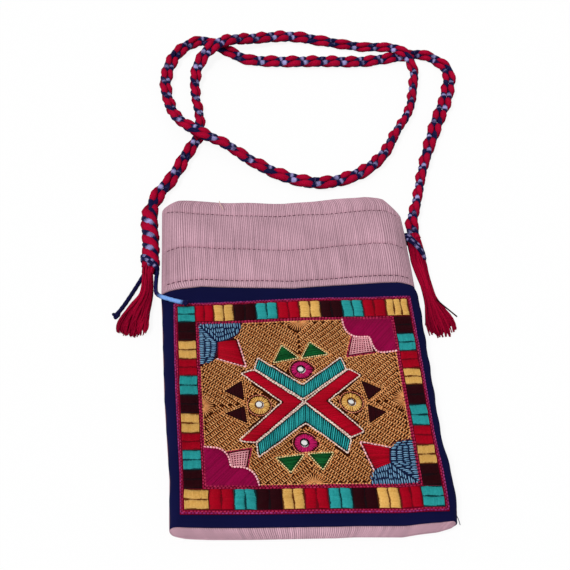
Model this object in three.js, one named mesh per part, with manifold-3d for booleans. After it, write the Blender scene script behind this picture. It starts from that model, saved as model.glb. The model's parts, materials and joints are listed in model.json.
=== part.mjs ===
// Crossbody pouch of corduroy with an embroidered, mirror-set front patch and a plaited strap.
// Millimetres. It lies on its back: +X is the wearer's right in the picture, +Y runs to the mouth,
// +Z is up from the surface, and the origin is under the middle of the pouch.

import * as THREE from "three";
import { mergeVertices } from "three/addons/utils/BufferGeometryUtils.js";
import Module from "manifold-3d";

const wasm = await Module();
wasm.setup();

// Pouch
const pouchLength = 224.8;
const pouchThickness = 10.4;
const mouthHalfWidth = 78;
const baseHalfWidth = 75.9;
const flareFrom = -10;
const flareTo = 80;
const cornerRadius = 8;
const handCut = 0.027; // the right edge is cut longer than the left by this share each way
const clothWall = 1.6;
const liningWall = 0.6;
const clearance = 0.3;

// How far in from each edge the cloth rolls down to the side seam
const backRoll = 12;
const patchRoll = 5.3;
const bandRoll = 17;
const baseRoll = 4.2;

// Top band and its three rows of stitching
const bandSeamY = 43.4;
const stitchRows = [46.8, 74, 101];
const channelPuff = 1;
const mouthSetback = 3; // the lining stops this far below the mouth

// Patch
const patchWidth = 140.4;
const patchHeight = 133.8;
const patchY = -34.9;
const groundWall = 0.8;
const edgingWidth = 1.3;
const edgingRise = 0.6;
const blockAcross = 10.9;
const blockDown = 12.4;
const blockRise = 1;
const blockSpacing = 0.5;
const blocksPerSide = 11;
const barRound = 0.45;

// Stitched field
const fieldBase = 0.3;
const rowRise = 0.45;
const rowPitch = 3.2;
const rowGroove = 0.9;
const armAngle = (38.5 * Math.PI) / 180;
const crossing = [0.3, -37.4];
const motifRise = 0.75;
const motifRound = 0.3;

// Mirrors and the rings that hold them
const mirrorRadius = 2.3;
const mirrorThickness = 0.4;
const ringOuter = 5.8;
const ringInner = 2.7;

// Plaited strap
const plaitWidth = 8.5;
const plaitThickness = 6;
const satinDiameter = 2.6;
const knotLength = 4.6;

// Levels worked out from the sizes above
const halfLength = pouchLength / 2;
const seamLevel = pouchThickness / 2;
const groundTop = pouchThickness + groundWall;
const fieldTop = groundTop + fieldBase;
const patchTop = groundTop + blockRise;

const pouch = new THREE.Group();
const cords = new THREE.Group();

const colours = {
  corduroy: 0xba8f9e,
  navy: 0x10123a,
  lining: 0xc9a9b2,
  ground: 0xa8143c,
  field: 0xbe7d46,
  teal: 0x20968c,
  gold: 0xd6a646,
  red: 0xb20820,
  maroon: 0x3a0410,
  green: 0x053c19,
  magenta: 0x960f64,
  blue: 0x325a87,
  blush: 0xc8828c,
  mirror: 0xdfe4ea,
  plait: 0xa00a24,
  satin: 0x141446,
};

function addPiece(group, name, geometry, colour, roughness, metalness = 0) {
  const material = new THREE.MeshStandardMaterial({ color: colours[colour], roughness, metalness });
  const piece = new THREE.Mesh(geometry, material);
  piece.name = name;
  group.add(piece);
}

function sealed(geometry) {
  geometry.deleteAttribute("normal");
  geometry.deleteAttribute("uv");
  return mergeVertices(geometry, 1e-4);
}

function toSolid(geometry) {
  const closed = sealed(geometry);
  return new wasm.Manifold(new wasm.Mesh({
    numProp: 3,
    vertProperties: new Float32Array(closed.attributes.position.array),
    triVerts: new Uint32Array(closed.index.array),
  }));
}

function toGeometry(solid) {
  const mesh = solid.getMesh();
  const geometry = new THREE.BufferGeometry();
  geometry.setAttribute("position", new THREE.BufferAttribute(mesh.vertProperties, 3));
  geometry.setIndex(new THREE.BufferAttribute(mesh.triVerts, 1));
  return geometry;
}

// The panels are cut by hand, a little longer towards the right edge
function cutByHand(geometry) {
  const at = geometry.attributes.position;
  for (let i = 0; i < at.count; i += 1) {
    at.setY(i, at.getY(i) * (1 + (handCut * at.getX(i)) / baseHalfWidth));
  }
  return geometry;
}

function addToPouch(name, geometry, colour, roughness, metalness) {
  addPiece(pouch, name, cutByHand(geometry), colour, roughness, metalness);
}

function smoothStep(value, from, to) {
  const share = Math.min(Math.max((value - from) / (to - from), 0), 1);
  return share * share * (3 - 2 * share);
}

// Cloth panels

const rollSteps = 4;
const flatSteps = 6;
const sheetColumns = 2 * rollSteps + flatSteps;

function halfWidthAt(y) {
  const flared = baseHalfWidth + (mouthHalfWidth - baseHalfWidth) * smoothStep(y, flareFrom, flareTo);
  const toEnd = Math.max(halfLength - Math.abs(y), 0);
  const intoCorner = Math.max(cornerRadius - toEnd, 0);
  return flared - (cornerRadius - Math.sqrt(cornerRadius ** 2 - intoCorner ** 2));
}

function frontRollAt(y) {
  return patchRoll + (bandRoll - patchRoll) * smoothStep(y, patchY + patchHeight / 2 + 1, bandSeamY + 6);
}

// Across the sheet: angle steps round each side's roll and even steps between them
function across(column, half, roll) {
  const fromEdge = Math.min(column, sheetColumns - column);
  const side = column < sheetColumns / 2 ? -1 : 1;
  if (fromEdge < rollSteps) {
    const angle = ((fromEdge / rollSteps) * Math.PI) / 2;
    return { x: side * (half - roll * (1 - Math.cos(angle))), rise: Math.sin(angle) };
  }
  const share = (column - rollSteps) / flatSteps;
  return { x: (2 * share - 1) * (half - roll), rise: 1 };
}

// One point of a sheet, at a depth under the pouch's outer surface, above or below the side seams
function clothPoint(column, y, depth, above, lift = 1) {
  const roll = (above ? frontRollAt(y) : backRoll) - depth;
  const { x, rise } = across(column, halfWidthAt(y) - depth, roll);
  const height = (seamLevel - depth - clearance / 2) * rise * lift;
  const z = above ? seamLevel + clearance / 2 + height : seamLevel - clearance / 2 - height;
  return { x, y, z, rise };
}

function bentSheet(columns, rows, place) {
  const box = new THREE.BoxGeometry(1, 1, 1, columns, rows, 1);
  const at = box.attributes.position;
  for (let i = 0; i < at.count; i += 1) {
    const column = Math.round((at.getX(i) + 0.5) * columns);
    const row = Math.round((at.getY(i) + 0.5) * rows);
    const point = place(column, row, at.getZ(i) > 0);
    at.setXYZ(i, point.x, point.y, point.z);
  }
  return sealed(box);
}

// Rows from the mouth towards the base, closer together round the mouth's corners
const mouthRows = [0, 0.6, 2.4, 5, cornerRadius].map((inward) => halfLength - inward);
const wallRows = [flareTo, bandSeamY, 15, flareFrom, -60];
const rollAngles = [90, 65, 40, 18, 0].map((degrees) => (degrees * Math.PI) / 180);

// The base roll at a depth: y and the share of full height, by the angle round the roll
function baseRowAt(angle, depth) {
  return { y: -halfLength + baseRoll - (baseRoll - depth) * Math.cos(angle), lift: Math.sin(angle) };
}

function backPanel() {
  const straight = [...mouthRows, ...wallRows];
  const under = rollAngles;
  const over = [...rollAngles].reverse();
  const rows = straight.length + under.length + over.length - 1;
  return bentSheet(sheetColumns, rows, (column, row, outer) => {
    const depth = outer ? 0 : clothWall;
    if (row < straight.length) return clothPoint(column, straight[row], depth, false);
    const turn = row - straight.length;
    const above = turn >= under.length;
    const angle = above ? over[turn - under.length] : under[turn];
    const { y, lift } = baseRowAt(angle, depth);
    return clothPoint(column, y, depth, above, lift);
  });
}

function navyPanel() {
  const low = -halfLength + baseRoll + clearance;
  const patchEdge = patchY + patchHeight / 2 + 1;
  const rows = [low, -halfLength + cornerRadius, -60, flareFrom, patchEdge];
  rows.push((patchEdge + bandSeamY) / 2, bandSeamY - clearance / 2);
  return bentSheet(sheetColumns, rows.length - 1, (column, row, outer) =>
    clothPoint(column, rows[row], outer ? 0 : clothWall, true));
}

// The band is puffed between its rows of stitching
function topBand() {
  const start = bandSeamY + clearance / 2;
  const lines = [start, ...stitchRows, halfLength];
  const rows = [start];
  const puffs = [0];
  for (let channel = 1; channel < lines.length; channel += 1) {
    const from = lines[channel - 1];
    const length = lines[channel] - from;
    const steps = length < cornerRadius ? 1 : 4;
    for (let step = 1; step <= steps; step += 1) {
      const share = step / steps;
      rows.push(from + length * share);
      puffs.push(steps > 1 && step < steps ? channelPuff * Math.sqrt(Math.sin(Math.PI * share)) : 0);
    }
  }
  return bentSheet(sheetColumns, rows.length - 1, (column, row, outer) => {
    const point = clothPoint(column, rows[row], outer ? 0 : clothWall, true);
    if (outer) point.z += puffs[row] * point.rise;
    return point;
  });
}

// The lining is one flat bag inside the cloth, sewn shut at its sides and base and open at the mouth
function liningBody(depth, mouthY) {
  const straight = [mouthY, halfLength - cornerRadius, ...wallRows];
  const rows = straight.length + rollAngles.length - 1;
  return toSolid(bentSheet(sheetColumns, rows, (column, row, under) => {
    if (row < straight.length) return clothPoint(column, straight[row], depth, !under);
    const { y, lift } = baseRowAt(rollAngles[row - straight.length], depth);
    return clothPoint(column, y, depth, !under, lift);
  }));
}

function lining() {
  const outside = liningBody(clothWall + clearance, halfLength - mouthSetback);
  const inside = liningBody(clothWall + clearance + liningWall, halfLength + clothWall);
  return toGeometry(outside.subtract(inside));
}

addToPouch("back_panel", backPanel(), "corduroy", 0.95);
addToPouch("top_band", topBand(), "corduroy", 0.95);
addToPouch("navy_panel", navyPanel(), "navy", 0.9);
addToPouch("lining", lining(), "lining", 0.85);

// Embroidered border: blocks of satin stitch, each a few bars side by side on a shared foot

const patchLeft = -patchWidth / 2;
const patchTopY = patchY + patchHeight / 2;
const alongTop = (patchWidth - 2 * edgingWidth - 2 * blockAcross) / (blocksPerSide - 2);
const alongSide = (patchHeight - 2 * edgingWidth - 2 * blockDown) / (blocksPerSide - 2);

function barBlock(width, length, bars, level, rise) {
  const pitch = width / bars;
  const outline = new THREE.Shape();
  outline.moveTo(-width / 2, 0);
  for (let bar = 0; bar < bars; bar += 1) {
    const from = -width / 2 + bar * pitch;
    if (bar > 0) outline.lineTo(from, rise / 2);
    outline.lineTo(from, rise - barRound);
    outline.lineTo(from + barRound, rise);
    outline.lineTo(from + pitch - barRound, rise);
    outline.lineTo(from + pitch, rise - barRound);
  }
  outline.lineTo(width / 2, 0);
  const block = new THREE.ExtrudeGeometry(outline, { depth: length, bevelEnabled: false });
  block.rotateX(Math.PI / 2);
  block.translate(0, length / 2, level);
  return block;
}

// A side is read as one letter a block: t teal, g gold, r red, m maroon
const borderColours = { top: "trgmtrgmtrg", bottom: "grtmgrtmgrt", left: "tmgrtmgrtmg", right: "gmtrgmtrgmt" };
const colourNames = { t: "teal", g: "gold", r: "red", m: "maroon" };

function sideCentre(index, cornerSize, step) {
  if (index === 0) return edgingWidth + cornerSize / 2;
  return edgingWidth + cornerSize + (index - 0.5) * step;
}

function borderBlocks() {
  const last = blocksPerSide - 1;
  const blocks = [];
  for (const [side, letters] of Object.entries(borderColours)) {
    const level = side === "top" || side === "bottom";
    const cornerSize = level ? blockAcross : blockDown;
    const step = level ? alongTop : alongSide;
    const total = level ? patchWidth : patchHeight;
    for (let index = 0; index <= last; index += 1) {
      const corner = index === 0 || index === last;
      if (corner && !level) continue;
      const along = sideCentre(index % last, cornerSize, step);
      const run = index === last ? total - along : along;
      const size = corner ? cornerSize : step;
      const inward = edgingWidth + (level ? blockDown : blockAcross) / 2;
      const block = { side, index, colour: colourNames[letters[index]] };
      if (level) {
        block.x = patchLeft + run;
        block.y = side === "top" ? patchTopY - inward : patchTopY - patchHeight + inward;
        block.width = size - blockSpacing;
        block.height = blockDown - blockSpacing;
      } else {
        block.x = side === "left" ? patchLeft + inward : -patchLeft - inward;
        block.y = patchTopY - run;
        block.width = blockAcross - blockSpacing;
        block.height = size - blockSpacing;
      }
      block.bars = side === "top" && index === last ? 3 : 2;
      block.upright = level && (!corner || block.bars === 3);
      blocks.push(block);
    }
  }
  return blocks;
}

function blockGeometry(block, level, rise) {
  const width = block.upright ? block.width : block.height;
  const length = block.upright ? block.height : block.width;
  const geometry = barBlock(width, length, block.bars, level, rise);
  if (!block.upright) geometry.rotateZ(Math.PI / 2);
  geometry.translate(block.x, block.y, 0);
  return geometry;
}

function slab(x0, x1, y0, y1, z0, z1) {
  const box = new THREE.BoxGeometry(x1 - x0, y1 - y0, z1 - z0);
  box.translate((x0 + x1) / 2, (y0 + y1) / 2, (z0 + z1) / 2);
  return toSolid(box);
}

function frame(halfX, halfY, width, z0, z1) {
  const outside = slab(-halfX, halfX, patchY - halfY, patchY + halfY, z0, z1);
  const hole = slab(width - halfX, halfX - width, patchY - halfY + width, patchY + halfY - width, z0 - 1, z1 + 1);
  return outside.subtract(hole);
}

const fieldHalfX = patchWidth / 2 - 2 * edgingWidth - blockAcross;
const fieldHalfY = patchHeight / 2 - 2 * edgingWidth - blockDown;
const sunk = groundWall / 2;

// The ground cloth carries the couched edgings and the red and maroon blocks, all worked into it
function patchGround() {
  const left = -patchWidth / 2;
  const low = patchY - patchHeight / 2;
  let ground = slab(left, -left, low, low + patchHeight, pouchThickness, groundTop);
  ground = ground.add(frame(patchWidth / 2, patchHeight / 2, edgingWidth - blockSpacing / 2, groundTop - sunk,
    groundTop + edgingRise));
  const innerX = fieldHalfX + edgingWidth - blockSpacing / 2;
  const innerY = fieldHalfY + edgingWidth - blockSpacing / 2;
  ground = ground.add(frame(innerX, innerY, edgingWidth - blockSpacing, groundTop - sunk, groundTop + edgingRise));
  for (const block of borderBlocks()) {
    if (block.colour === "teal" || block.colour === "gold") continue;
    ground = ground.add(toSolid(blockGeometry(block, groundTop - sunk, blockRise + sunk)));
  }
  return toGeometry(ground);
}

addToPouch("patch_ground", patchGround(), "ground", 0.85);

for (const block of borderBlocks()) {
  if (block.colour !== "teal" && block.colour !== "gold") continue;
  const name = `${block.colour}_block_${block.side}_${block.index + 1}`;
  addToPouch(name, sealed(blockGeometry(block, groundTop, blockRise)), block.colour, 0.7);
}

// Motifs: each outline is as worked, drawn in by half the couched line round it

const motifs = {
  chevron_teal_top: ["teal", [-22.9, -9.4], [-24.7, -14.4], [0, -33.8], [24.8, -16.2], [23.4, -10.5], [0.6, -27.3]],
  chevron_teal_bottom: ["teal", [0.6, -39], [-27, -61.7], [-26.6, -67.7], [-0.4, -48.5], [19.9, -66.6], [22, -60.6]],
  chevron_red_left: ["red", [-31.3, -18], [-26.3, -16.4], [-1.7, -36.7], [-29.1, -60.1], [-35.3, -59.1],
    [-10.5, -36.5]],
  chevron_red_right: ["red", [27.5, -17.6], [32.2, -20.4], [11.9, -36.6], [29.5, -55.2], [23.5, -57.9],
    [2.2, -36.8]],
  triangle_green_top_left: ["green", [-9.2, -1.1], [-13.4, -9.9], [-2.1, -7.8]],
  triangle_green_top_right: ["green", [7.2, 0.6], [2.9, -7.6], [14.8, -5.8]],
  triangle_green_bottom_left: ["green", [-16.8, -71.2], [-5.3, -69.9], [-11.4, -77.8]],
  triangle_green_bottom_right: ["green", [0.5, -69.3], [11, -68.9], [5.8, -76.5]],
  triangle_maroon_left_upper: ["maroon", [-42.4, -28.7], [-33.9, -23], [-33.4, -33.8]],
  triangle_maroon_left_lower: ["maroon", [-42.6, -43], [-33.5, -39], [-32.9, -48.2]],
  triangle_maroon_right_upper: ["maroon", [34.5, -24.7], [43.8, -29.5], [36.5, -35.5]],
  triangle_maroon_right_lower: ["maroon", [35.9, -39.9], [44.2, -43.9], [35.4, -49.7]],
  corner_top_left: ["blue", [-56, 15.8], [-32.5, 16], [-36, 5.8], [-46, 3.1], [-48.4, -8], [-54, -10.7]],
  corner_top_right: ["magenta", [56, 16], [27.8, 15.4], [29, 9.4], [33.6, 5.5], [42.6, 5.3], [43.7, -0.7],
    [46.2, -5.1], [56, -5.6]],
  corner_bottom_left: ["magenta", [-55.8, -85.7], [-55.2, -63.8], [-47.5, -64.6], [-43.7, -68.9], [-42.6, -75.5],
    [-33.9, -76.6], [-30.1, -80.4], [-28.7, -84.8]],
  corner_bottom_right: ["blue", [55.2, -84.6], [54.6, -62.2], [45.4, -63.7], [43.1, -68.8], [42.6, -73.9],
    [35.8, -76.3], [31.8, -81.2], [31.7, -84.4]],
  wedge_top_left: ["red", [-45.6, 3.2], [-35.4, 4.3], [-31.8, -11.6], [-45.9, -6.6]],
  wedge_top_right: ["blush", [32.9, 5.2], [42, 5.2], [43.4, -4.3], [29.1, -6.8]],
  wedge_bottom_left: ["blush", [-43.2, -67.6], [-32.6, -65.8], [-34.9, -75.1], [-42, -75.5]],
  wedge_bottom_right: ["red", [29.8, -63.8], [43.2, -65.9], [42.2, -73.9], [33.3, -76.9]],
};
const motifInset = 0.55;

const mirrorPlaces = {
  top: ["magenta", 0.5, -16.1],
  left: ["gold", -24.7, -38],
  right: ["gold", 26.6, -37.6],
  bottom: ["magenta", -2.3, -62.2],
};

function signedArea(points) {
  let area = 0;
  points.forEach(([x, y], i) => {
    const [nextX, nextY] = points[(i + 1) % points.length];
    area += (x * nextY - nextX * y) / 2;
  });
  return area;
}

// Moves each edge of an outline inwards by a distance, and meets the moved edges again at the corners
function drawnIn(points, distance) {
  const turn = Math.sign(signedArea(points));
  const normals = points.map(([x, y], i) => {
    const [nextX, nextY] = points[(i + 1) % points.length];
    const length = Math.hypot(nextX - x, nextY - y);
    return [(-turn * (nextY - y)) / length, (turn * (nextX - x)) / length];
  });
  return points.map(([x, y], i) => {
    const before = normals[(i + points.length - 1) % points.length];
    const after = normals[i];
    const scale = distance / (1 + before[0] * after[0] + before[1] * after[1]);
    return [x + (before[0] + after[0]) * scale, y + (before[1] + after[1]) * scale];
  });
}

function shapeOf(points) {
  return new THREE.Shape(points.map(([x, y]) => new THREE.Vector2(x, y)));
}

function pillar(points, z0, z1) {
  const column = new THREE.ExtrudeGeometry(shapeOf(points), { depth: z1 - z0, bevelEnabled: false });
  column.translate(0, 0, z0);
  return toSolid(column);
}

// A stitched pad: flat below, with its upper edge rounded off
function padOf(points, level, rise) {
  const pad = new THREE.ExtrudeGeometry(shapeOf(drawnIn(points, motifRound)), {
    depth: rise - motifRound,
    bevelEnabled: true,
    bevelThickness: motifRound,
    bevelSize: motifRound,
    bevelSegments: 1,
  });
  pad.translate(0, 0, level);
  return toSolid(pad).intersect(pillar(drawnIn(points, -motifRound), level, level + rise));
}

// Each row of the field follows the cross: a strip a set distance from its arms, folded on the axis
function fieldRow(quarter, offset) {
  const tall = quarter % 2 === 0;
  const lean = tall ? armAngle : Math.PI / 2 - armAngle;
  const reach = patchWidth;
  const along = (distance, sideways) => [sideways, Math.abs(sideways) * Math.tan(lean) + distance / Math.cos(lean)];
  const outer = offset + (rowPitch - rowGroove) / 2;
  const inner = offset - (rowPitch - rowGroove) / 2;
  const points = [along(outer, -reach), along(outer, 0), along(outer, reach)];
  points.push(along(inner, reach), along(inner, 0), along(inner, -reach));
  const angle = (-quarter * Math.PI) / 2;
  return points.map(([x, y]) => [
    crossing[0] + x * Math.cos(angle) - y * Math.sin(angle),
    crossing[1] + x * Math.sin(angle) + y * Math.cos(angle),
  ]);
}

function stitchedField() {
  const left = -fieldHalfX + clearance;
  const low = patchY - fieldHalfY + clearance;
  const high = patchY + fieldHalfY - clearance;
  const rowFoot = groundTop + fieldBase / 2;
  const rowTop = fieldTop + rowRise;
  let rows = slab(left, left + 0.1, low, low + 0.1, rowFoot, rowTop);
  for (let quarter = 0; quarter < 4; quarter += 1) {
    const depth = (quarter % 2 === 0 ? fieldHalfY * Math.cos(armAngle) : fieldHalfX * Math.sin(armAngle)) + rowPitch;
    for (let offset = rowPitch / 2; offset < depth; offset += rowPitch) {
      rows = rows.add(pillar(fieldRow(quarter, offset), rowFoot, rowTop));
    }
  }
  rows = rows.intersect(slab(left, -left, low, high, rowFoot, rowTop));
  for (const [, ...outline] of Object.values(motifs)) {
    rows = rows.subtract(pillar(drawnIn(outline, motifInset - clearance), fieldTop, rowTop + 1));
  }
  for (const [, x, y] of Object.values(mirrorPlaces)) {
    const hole = new THREE.CylinderGeometry(ringOuter + clearance, ringOuter + clearance, 2, 16);
    hole.rotateX(Math.PI / 2);
    hole.translate(x, y, fieldTop + 1);
    rows = rows.subtract(toSolid(hole));
  }
  return toGeometry(slab(left, -left, low, high, groundTop, fieldTop).add(rows));
}

addToPouch("stitched_field", stitchedField(), "field", 0.9);

for (const [name, [colour, ...outline]] of Object.entries(motifs)) {
  addToPouch(name, toGeometry(padOf(drawnIn(outline, motifInset), fieldTop, motifRise)), colour, 0.75);
}

function ringGeometry(x, y) {
  const middle = (ringOuter + ringInner) / 2;
  const profile = [[ringInner, 0], [ringOuter, 0], [ringOuter, motifRise / 2], [middle, motifRise]];
  profile.push([ringInner, motifRise * 0.7], [ringInner, 0]);
  const ring = new THREE.LatheGeometry(profile.map(([r, z]) => new THREE.Vector2(r, z)), 20);
  ring.rotateX(Math.PI / 2);
  ring.translate(x, y, fieldTop);
  return sealed(ring);
}

function mirrorGeometry(x, y) {
  const disc = new THREE.CylinderGeometry(mirrorRadius, mirrorRadius, mirrorThickness, 20);
  disc.rotateX(Math.PI / 2);
  disc.translate(x, y, fieldTop + mirrorThickness / 2);
  return sealed(disc);
}

for (const [place, [colour, x, y]] of Object.entries(mirrorPlaces)) {
  addToPouch(`mirror_ring_${place}`, ringGeometry(x, y), colour, 0.8);
  addToPouch(`mirror_${place}`, mirrorGeometry(x, y), "mirror", 0.05, 1);
}

// Plaited strap, laid in a long loop above the mouth: x and y of each point, and how far it is lifted
// where it passes over another stretch

const overpass = plaitThickness + clearance;
const strapRoute = [
  [-83, 64.6, 0], [-83, 86, 0], [-83.2, 106, 0], [-78.5, 121.3, 0], [-68.2, 138, 0], [-58.1, 159.6, 0],
  [-50.4, 175, 0], [-48.9, 194, 0], [-51, 218, 0], [-48.9, 240, 0.35], [-39.6, 257, 0.85], [-26.5, 265.8, 1],
  [-7.4, 272.6, 0.45], [22, 279.2, 0], [50.3, 273.9, 0], [75, 268.2, 0.35], [92.5, 263.9, 0.9],
  [104.5, 258, 0.9], [109.8, 242, 0.3], [107.4, 226, 0], [100.3, 202, 0], [87.6, 180.5, 0], [74.9, 158.4, 0],
  [56.6, 141.6, 0], [30.1, 133, 0], [6.9, 138, 0], [-15.7, 151.3, 0.2], [-33, 163.2, 0.8], [-50.2, 173, 1],
  [-64, 188.6, 0.6], [-69.9, 210, 0], [-71, 232, 0], [-62, 259, 0], [-45, 272.4, 0], [-30.3, 265.4, 0],
  [-13.2, 253.6, 0], [4.4, 251.4, 0], [42, 252.2, 0], [75, 253.1, 0], [98.9, 258.4, 0], [121, 261.3, 0],
  [136, 246, 0], [131.5, 220.4, 0], [117.2, 187.4, 0], [101, 146.5, 0], [90.5, 116, 0], [84.2, 98, 0],
  [83.8, 84.6, 0],
];

function ellipseShape(width, thickness, sides) {
  const points = [];
  for (let side = 0; side < sides; side += 1) {
    const angle = ((side + 0.5) / sides) * 2 * Math.PI;
    points.push(new THREE.Vector2((Math.cos(angle) * thickness) / 2, (Math.sin(angle) * width) / 2));
  }
  return new THREE.Shape(points);
}

function tubeAlong(points, width, thickness, sides, steps) {
  const path = new THREE.CatmullRomCurve3(points.map((point) => new THREE.Vector3(...point)), false, "centripetal");
  const options = { steps, extrudePath: path, bevelEnabled: false };
  return new THREE.ExtrudeGeometry(ellipseShape(width, thickness, sides), options);
}

const strapPoints = strapRoute.map(([x, y, lift]) => [x, y, plaitThickness / 2 + lift * overpass]);
addPiece(cords, "strap", sealed(tubeAlong(strapPoints, plaitWidth, plaitThickness, 8, 80)), "plait", 0.85);

// Tassels: loose yarn below the plait's ends, as a soft bundle through stations of place, width and thickness
function bundle(stations) {
  const rings = stations.length - 1;
  const geometry = new THREE.CylinderGeometry(1, 1, 1, 10, rings);
  const at = geometry.attributes.position;
  for (let i = 0; i < at.count; i += 1) {
    const station = Math.round((0.5 - at.getY(i)) * rings);
    const [x, y, width, thickness] = stations[station];
    const next = stations[Math.min(station + 1, rings)];
    const last = stations[Math.max(station - 1, 0)];
    const heading = Math.atan2(next[1] - last[1], next[0] - last[0]);
    const across = (at.getX(i) * width) / 2;
    const up = (at.getZ(i) * thickness) / 2;
    at.setXYZ(i, x - Math.sin(heading) * across, y + Math.cos(heading) * across, thickness / 2 + up);
  }
  return sealed(geometry);
}

const leftTassel = [
  [-83.4, 64, 7.2, 6], [-84.8, 56, 6.4, 5.8], [-85.8, 46, 6.4, 5.6], [-87.6, 36, 9.6, 5.4],
  [-91.4, 27, 15, 4.8], [-94.4, 20, 18.5, 4], [-95.8, 15.6, 13, 3],
];
const rightTassel = [
  [83.8, 83.8, 7.8, 6], [84.4, 76, 9.2, 6], [84.9, 62, 9.2, 5.8], [86.4, 48, 9.2, 5.6], [87.2, 36, 7.2, 5.2],
  [88.2, 26, 11, 5], [89.4, 16.5, 18, 4.2], [89.6, 8.4, 17, 3],
];
addPiece(cords, "tassel_left", bundle(leftTassel), "plait", 0.9);
addPiece(cords, "tassel_right", bundle(rightTassel), "plait", 0.9);

// Satin cord ends, each with a small knot
function satinEnd(points, steps) {
  const tube = toSolid(tubeAlong(points, satinDiameter, satinDiameter, 8, steps));
  const tip = points[points.length - 1];
  const knot = new THREE.SphereGeometry(knotLength / 2, 8, 6);
  knot.scale(1, 1, 0.8);
  knot.translate(...tip);
  return toGeometry(tube.add(toSolid(knot)));
}

const floorLevel = knotLength * 0.4;
const overCloth = pouchThickness + satinDiameter / 2 + clearance;
const overPatch = patchTop + satinDiameter / 2 + clearance;
const hangingEnd = [[-90.2, 53.4], [-94.2, 45.6], [-98.9, 37], [-103.4, 30]].map(([x, y]) => [x, y, floorLevel]);
const frontEnd = [
  [-79.9, 57, 2.4], [-79.9, 50, 2.6], [-80.3, 42, 5], [-79.6, 36.6, 9.4], [-75.2, 32.8, overCloth + 0.6],
  [-69.6, 30.9, overPatch], [-63, 29.2, overPatch + 0.6],
];
addPiece(cords, "satin_end_hanging", satinEnd(hangingEnd, 8), "satin", 0.35);
addPiece(cords, "satin_end_front", satinEnd(frontEnd, 16), "satin", 0.35);

const crossbodyPouch = new THREE.Group();
crossbodyPouch.add(pouch, cords);

export default crossbodyPouch;
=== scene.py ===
# Crossbody pouch: corduroy body, mirror-work patch and plaited yarn strap, lying on its back.
# Shapes are worked out in millimetres and written in metres.
import json
import math

import bpy
import numpy as np
from mathutils import Matrix

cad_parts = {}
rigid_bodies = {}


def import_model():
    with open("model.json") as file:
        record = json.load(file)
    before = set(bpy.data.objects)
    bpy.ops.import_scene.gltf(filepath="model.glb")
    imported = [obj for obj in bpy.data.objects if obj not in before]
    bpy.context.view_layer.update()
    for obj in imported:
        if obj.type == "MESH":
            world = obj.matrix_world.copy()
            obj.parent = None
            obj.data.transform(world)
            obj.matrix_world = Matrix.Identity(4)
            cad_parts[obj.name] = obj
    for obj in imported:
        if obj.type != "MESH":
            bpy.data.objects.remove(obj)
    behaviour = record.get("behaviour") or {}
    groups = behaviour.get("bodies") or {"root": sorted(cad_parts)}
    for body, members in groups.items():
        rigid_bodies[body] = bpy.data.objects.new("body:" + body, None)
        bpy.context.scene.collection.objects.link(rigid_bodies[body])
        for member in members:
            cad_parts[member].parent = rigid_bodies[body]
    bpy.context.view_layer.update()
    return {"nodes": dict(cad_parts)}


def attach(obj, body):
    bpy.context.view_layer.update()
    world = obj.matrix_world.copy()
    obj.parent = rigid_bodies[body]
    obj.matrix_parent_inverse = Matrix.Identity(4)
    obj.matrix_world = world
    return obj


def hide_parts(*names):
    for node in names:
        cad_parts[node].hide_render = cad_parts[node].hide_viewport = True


for leftover in list(bpy.data.objects):
    bpy.data.objects.remove(leftover)
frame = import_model()
dice = np.random.default_rng(27)
print("frame loaded")

# Camera at the picture's place
cameraPlace = {
    "location": (-0.0820, -0.3067, 0.4901),
    "right": (0.99128, -0.08758, 0.09845),
    "down": (-0.01243, -0.80594, -0.59186),
    "lens": 63.158,
    "sensor": 36.0,
}


def placeCamera():
    right = np.array(cameraPlace["right"])
    up = -np.array(cameraPlace["down"])
    right /= np.linalg.norm(right)
    up -= right * up.dot(right)
    up /= np.linalg.norm(up)
    back = np.cross(right, up)
    data = bpy.data.cameras.new("camera")
    data.lens = cameraPlace["lens"]
    data.sensor_width = cameraPlace["sensor"]
    data.clip_start = 0.01
    data.clip_end = 50
    camera = bpy.data.objects.new("camera", data)
    bpy.context.scene.collection.objects.link(camera)
    columns = np.eye(4)
    columns[:3, 0], columns[:3, 1], columns[:3, 2] = right, up, back
    columns[:3, 3] = cameraPlace["location"]
    camera.matrix_world = Matrix(columns.tolist())
    bpy.context.scene.camera = camera


placeCamera()


# Number helpers
def smoothStep(value, start, end):
    share = np.clip((np.asarray(value, float) - start) / (end - start), 0, 1)
    return share * share * (3 - 2 * share)


def unit(vectors):
    return vectors / np.maximum(np.linalg.norm(vectors, axis=-1, keepdims=True), 1e-9)


def curveThrough(points, perSpan):
    # Centripetal Catmull-Rom line through the points: each span is a cubic whose end slopes weigh
    # the neighbouring chords by the square roots of their lengths
    points = np.asarray(points, float)
    first = 2 * points[0] - points[1]
    last = 2 * points[-1] - points[-2]
    held = np.vstack([first, points, last])
    gaps = np.linalg.norm(np.diff(held, axis=0), axis=1) ** 0.5
    before, here, after = gaps[:-2, None], gaps[1:-1, None], gaps[2:, None]
    p0, p1, p2, p3 = held[:-3], held[1:-2], held[2:-1], held[3:]
    slopeIn = ((p1 - p0) / before - (p2 - p0) / (before + here) + (p2 - p1) / here) * here
    slopeOut = ((p2 - p1) / here - (p3 - p1) / (here + after) + (p3 - p2) / after) * here
    share = (np.arange(perSpan) / perSpan)[None, :, None]
    start, end = p1[:, None], p2[:, None]
    leave, arrive = slopeIn[:, None], slopeOut[:, None]
    line = start + leave * share + (3 * (end - start) - 2 * leave - arrive) * share**2
    line = line + (2 * (start - end) + leave + arrive) * share**3
    return np.vstack([line.reshape(-1, points.shape[1]), points[-1:]])


def runAlong(line):
    # How far along the line each of its points lies
    return np.concatenate([[0], np.cumsum(np.linalg.norm(np.diff(line, axis=0), axis=1))])


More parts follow.
